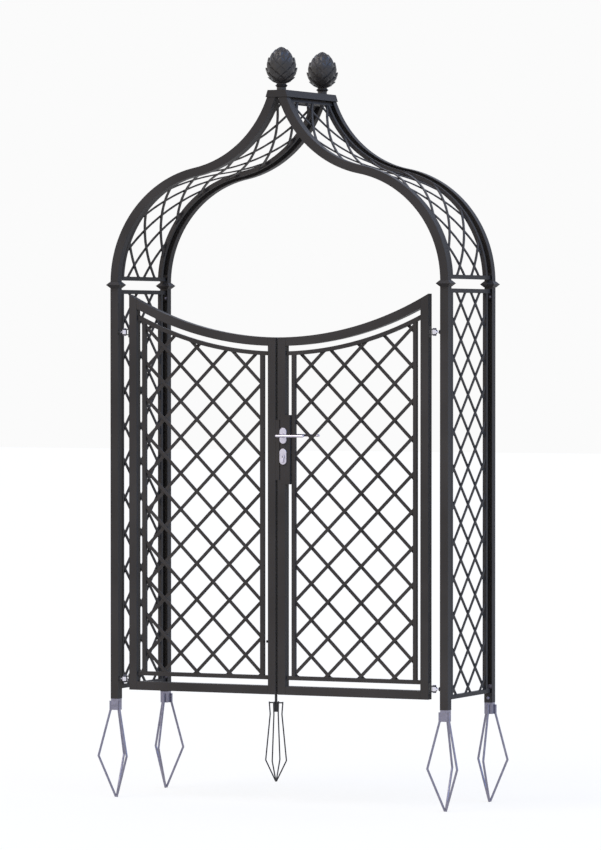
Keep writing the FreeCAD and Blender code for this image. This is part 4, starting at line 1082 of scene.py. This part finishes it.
class GARDENARCH_OT_screws(bpy.types.Operator):
    """Round-headed hexagon socket screws of the side panels"""

    bl_idname = "gardenarch.screws"
    bl_label = "Panel screws"

    head = 7 * MM
    head_height = 4 * MM
    shank = 3.8 * MM
    steps = 24
    smooth_degrees = 30.0
    # The dome from seat to crown, as shares of the head's radius and height.
    dome = ((0.0, 0.0), (1.0, 0.0), (1.0, 0.2), (0.95, 0.46), (0.84, 0.72), (0.68, 0.92), (0.5, 1.0))
    key = 2.5 * MM
    key_sides = 6
    key_depth = 2.2 * MM
    # The socket: how far its lip is wider and lower, and how deep the drill's point goes, as shares.
    lip = (1.08, 0.97)
    drill = 1.2

    def execute(self, context):
        head = add_object("screw_head", self.head_mesh())
        seats, aims, reaches = self.places()
        mesh = bpy.data.meshes.new("screw_places")
        mesh.from_pydata(seats, [], [])
        mesh.attributes.new("aim", "FLOAT_VECTOR", "POINT").data.foreach_set(
            "vector", [number for aim in aims for number in aim])
        mesh.attributes.new("reach", "FLOAT", "POINT").data.foreach_set("value", reaches)
        piece = grow("panel_screws_finish", mesh, screw_tree(), {
            "Head": head, "Shank radius": self.shank, "Material": galvanised()})
        bpy.data.objects.remove(head)
        smooth(piece.data, self.smooth_degrees)
        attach(piece, body_with("panel_screws"))
        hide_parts("panel_screws")
        return {"FINISHED"}

    def places(self):
        # Seats, directions of the heads and lengths of the shanks, read from the CAD screws.
        seats, aims, reaches = [], [], []
        for low, high in loose_boxes("panel_screws"):
            way = -1.0 if low.y > 0.0 else 1.0
            crown, end = (low.y, high.y) if way < 0.0 else (high.y, low.y)
            seat = crown - way * self.head_height
            seats.append(((low.x + high.x) / 2, seat, (low.z + high.z) / 2))
            aims.append((0.0, way, 0.0))
            reaches.append(abs(end - seat))
        return seats, aims, reaches

    def head_mesh(self):
        top = self.head_height
        wider, lower = self.lip
        profile = [(radius * self.head, height * top, 0) for radius, height in self.dome]
        socket = ((wider * self.key, top), (self.key, lower * top), (self.key, top - self.key_depth))
        profile += [(radius, height, self.key_sides) for radius, height in socket]
        profile.append((0.0, top - self.drill * self.key_depth, 0))
        work = bmesh.new()
        lathe(work, profile, self.steps, (0.0, 0.0))
        return mesh_from(work, "screw_head")


class GARDENARCH_OT_hinges(bpy.types.Operator):
    """Hinge eyes, nuts, brackets and pins"""

    bl_idname = "gardenarch.hinges"
    bl_label = "Hinges"

    def execute(self, context):
        edges = context.scene.arch_edges
        rounded("hinge_eye_bolts", edges.fitting, bright_zinc())
        for node in ("hinge_nuts", "left_hinge_brackets", "right_hinge_brackets", "left_hinge_pins",
                     "right_hinge_pins"):
            rounded(node, edges.fitting)
        return {"FINISHED"}


class GARDENARCH_OT_lock(bpy.types.Operator):
    """Lock case, strike box, roses, levers, cylinder and bolts"""

    bl_idname = "gardenarch.lock"
    bl_label = "Lock and handles"

    grip_from = 23 * MM
    grip_trim = 9 * MM
    # Corners of roses and cylinder, as shares of the other fittings' corners.
    rose_corner = 2
    rose_segments = 3
    cylinder_corner = 0.3

    def execute(self, context):
        edges = context.scene.arch_edges
        for node in ("lock_case", "left_strike_box", "left_drop_guides", "drop_bolt_rod"):
            rounded(node, edges.fitting)
        for node in ("handle_roses", "cylinder_roses"):
            rounded(node, self.rose_corner * edges.fitting, satin_rose(), self.rose_segments)
        for node in ("lock_cylinder", "key_plug"):
            rounded(node, self.cylinder_corner * edges.fitting)
        for node in ("dead_bolt", "latch_bolt", "latch_follower", "handle_spindle"):
            rounded(node, edges.fitting)
        for node in ("lever_front", "lever_rear"):
            self.shorten(rounded(node, edges.fitting))
        return {"FINISHED"}

    def shorten(self, lever):
        # The grip is shorter than the CAD lever's, so its rounded end moves in as it is.
        for vert in lever.data.vertices:
            if vert.co.x < self.grip_from:
                vert.co.x += self.grip_trim


PIECES = (
    GARDENARCH_OT_stage,
    GARDENARCH_OT_posts,
    GARDENARCH_OT_panels,
    GARDENARCH_OT_leaves,
    GARDENARCH_OT_anchors,
    GARDENARCH_OT_welds,
    GARDENARCH_OT_finials,
    GARDENARCH_OT_screws,
    GARDENARCH_OT_hinges,
    GARDENARCH_OT_lock,
)


class GARDENARCH_PT_sidebar(bpy.types.Panel):
    """The pieces of the garden arch, in the order in which they are made"""

    bl_idname = "GARDENARCH_PT_sidebar"
    bl_label = "Garden arch with gate"
    bl_space_type = "VIEW_3D"
    bl_region_type = "UI"
    bl_category = "Garden Arch"

    def draw(self, context):
        for name in SETTINGS:
            box = self.layout.box()
            settings = getattr(context.scene, name)
            for field in settings.bl_rna.properties:
                if not field.is_readonly and field.identifier != "name":
                    box.prop(settings, field.identifier)
        for operator in PIECES:
            self.layout.operator(operator.bl_idname)


def register():
    for group in SETTINGS.values():
        bpy.utils.register_class(group)
    for name, group in SETTINGS.items():
        setattr(bpy.types.Scene, name, PointerProperty(type=group))
    for operator in PIECES:
        bpy.utils.register_class(operator)
    bpy.utils.register_class(GARDENARCH_PT_sidebar)


def unregister():
    bpy.utils.unregister_class(GARDENARCH_PT_sidebar)
    for operator in reversed(PIECES):
        bpy.utils.unregister_class(operator)
    for name, group in reversed(SETTINGS.items()):
        delattr(bpy.types.Scene, name)
        bpy.utils.unregister_class(group)


def main():
    register()
    for operator in PIECES:
        family, name = operator.bl_idname.split(".")
        getattr(getattr(bpy.ops, family), name)()


if __name__ == "__main__":
    main()
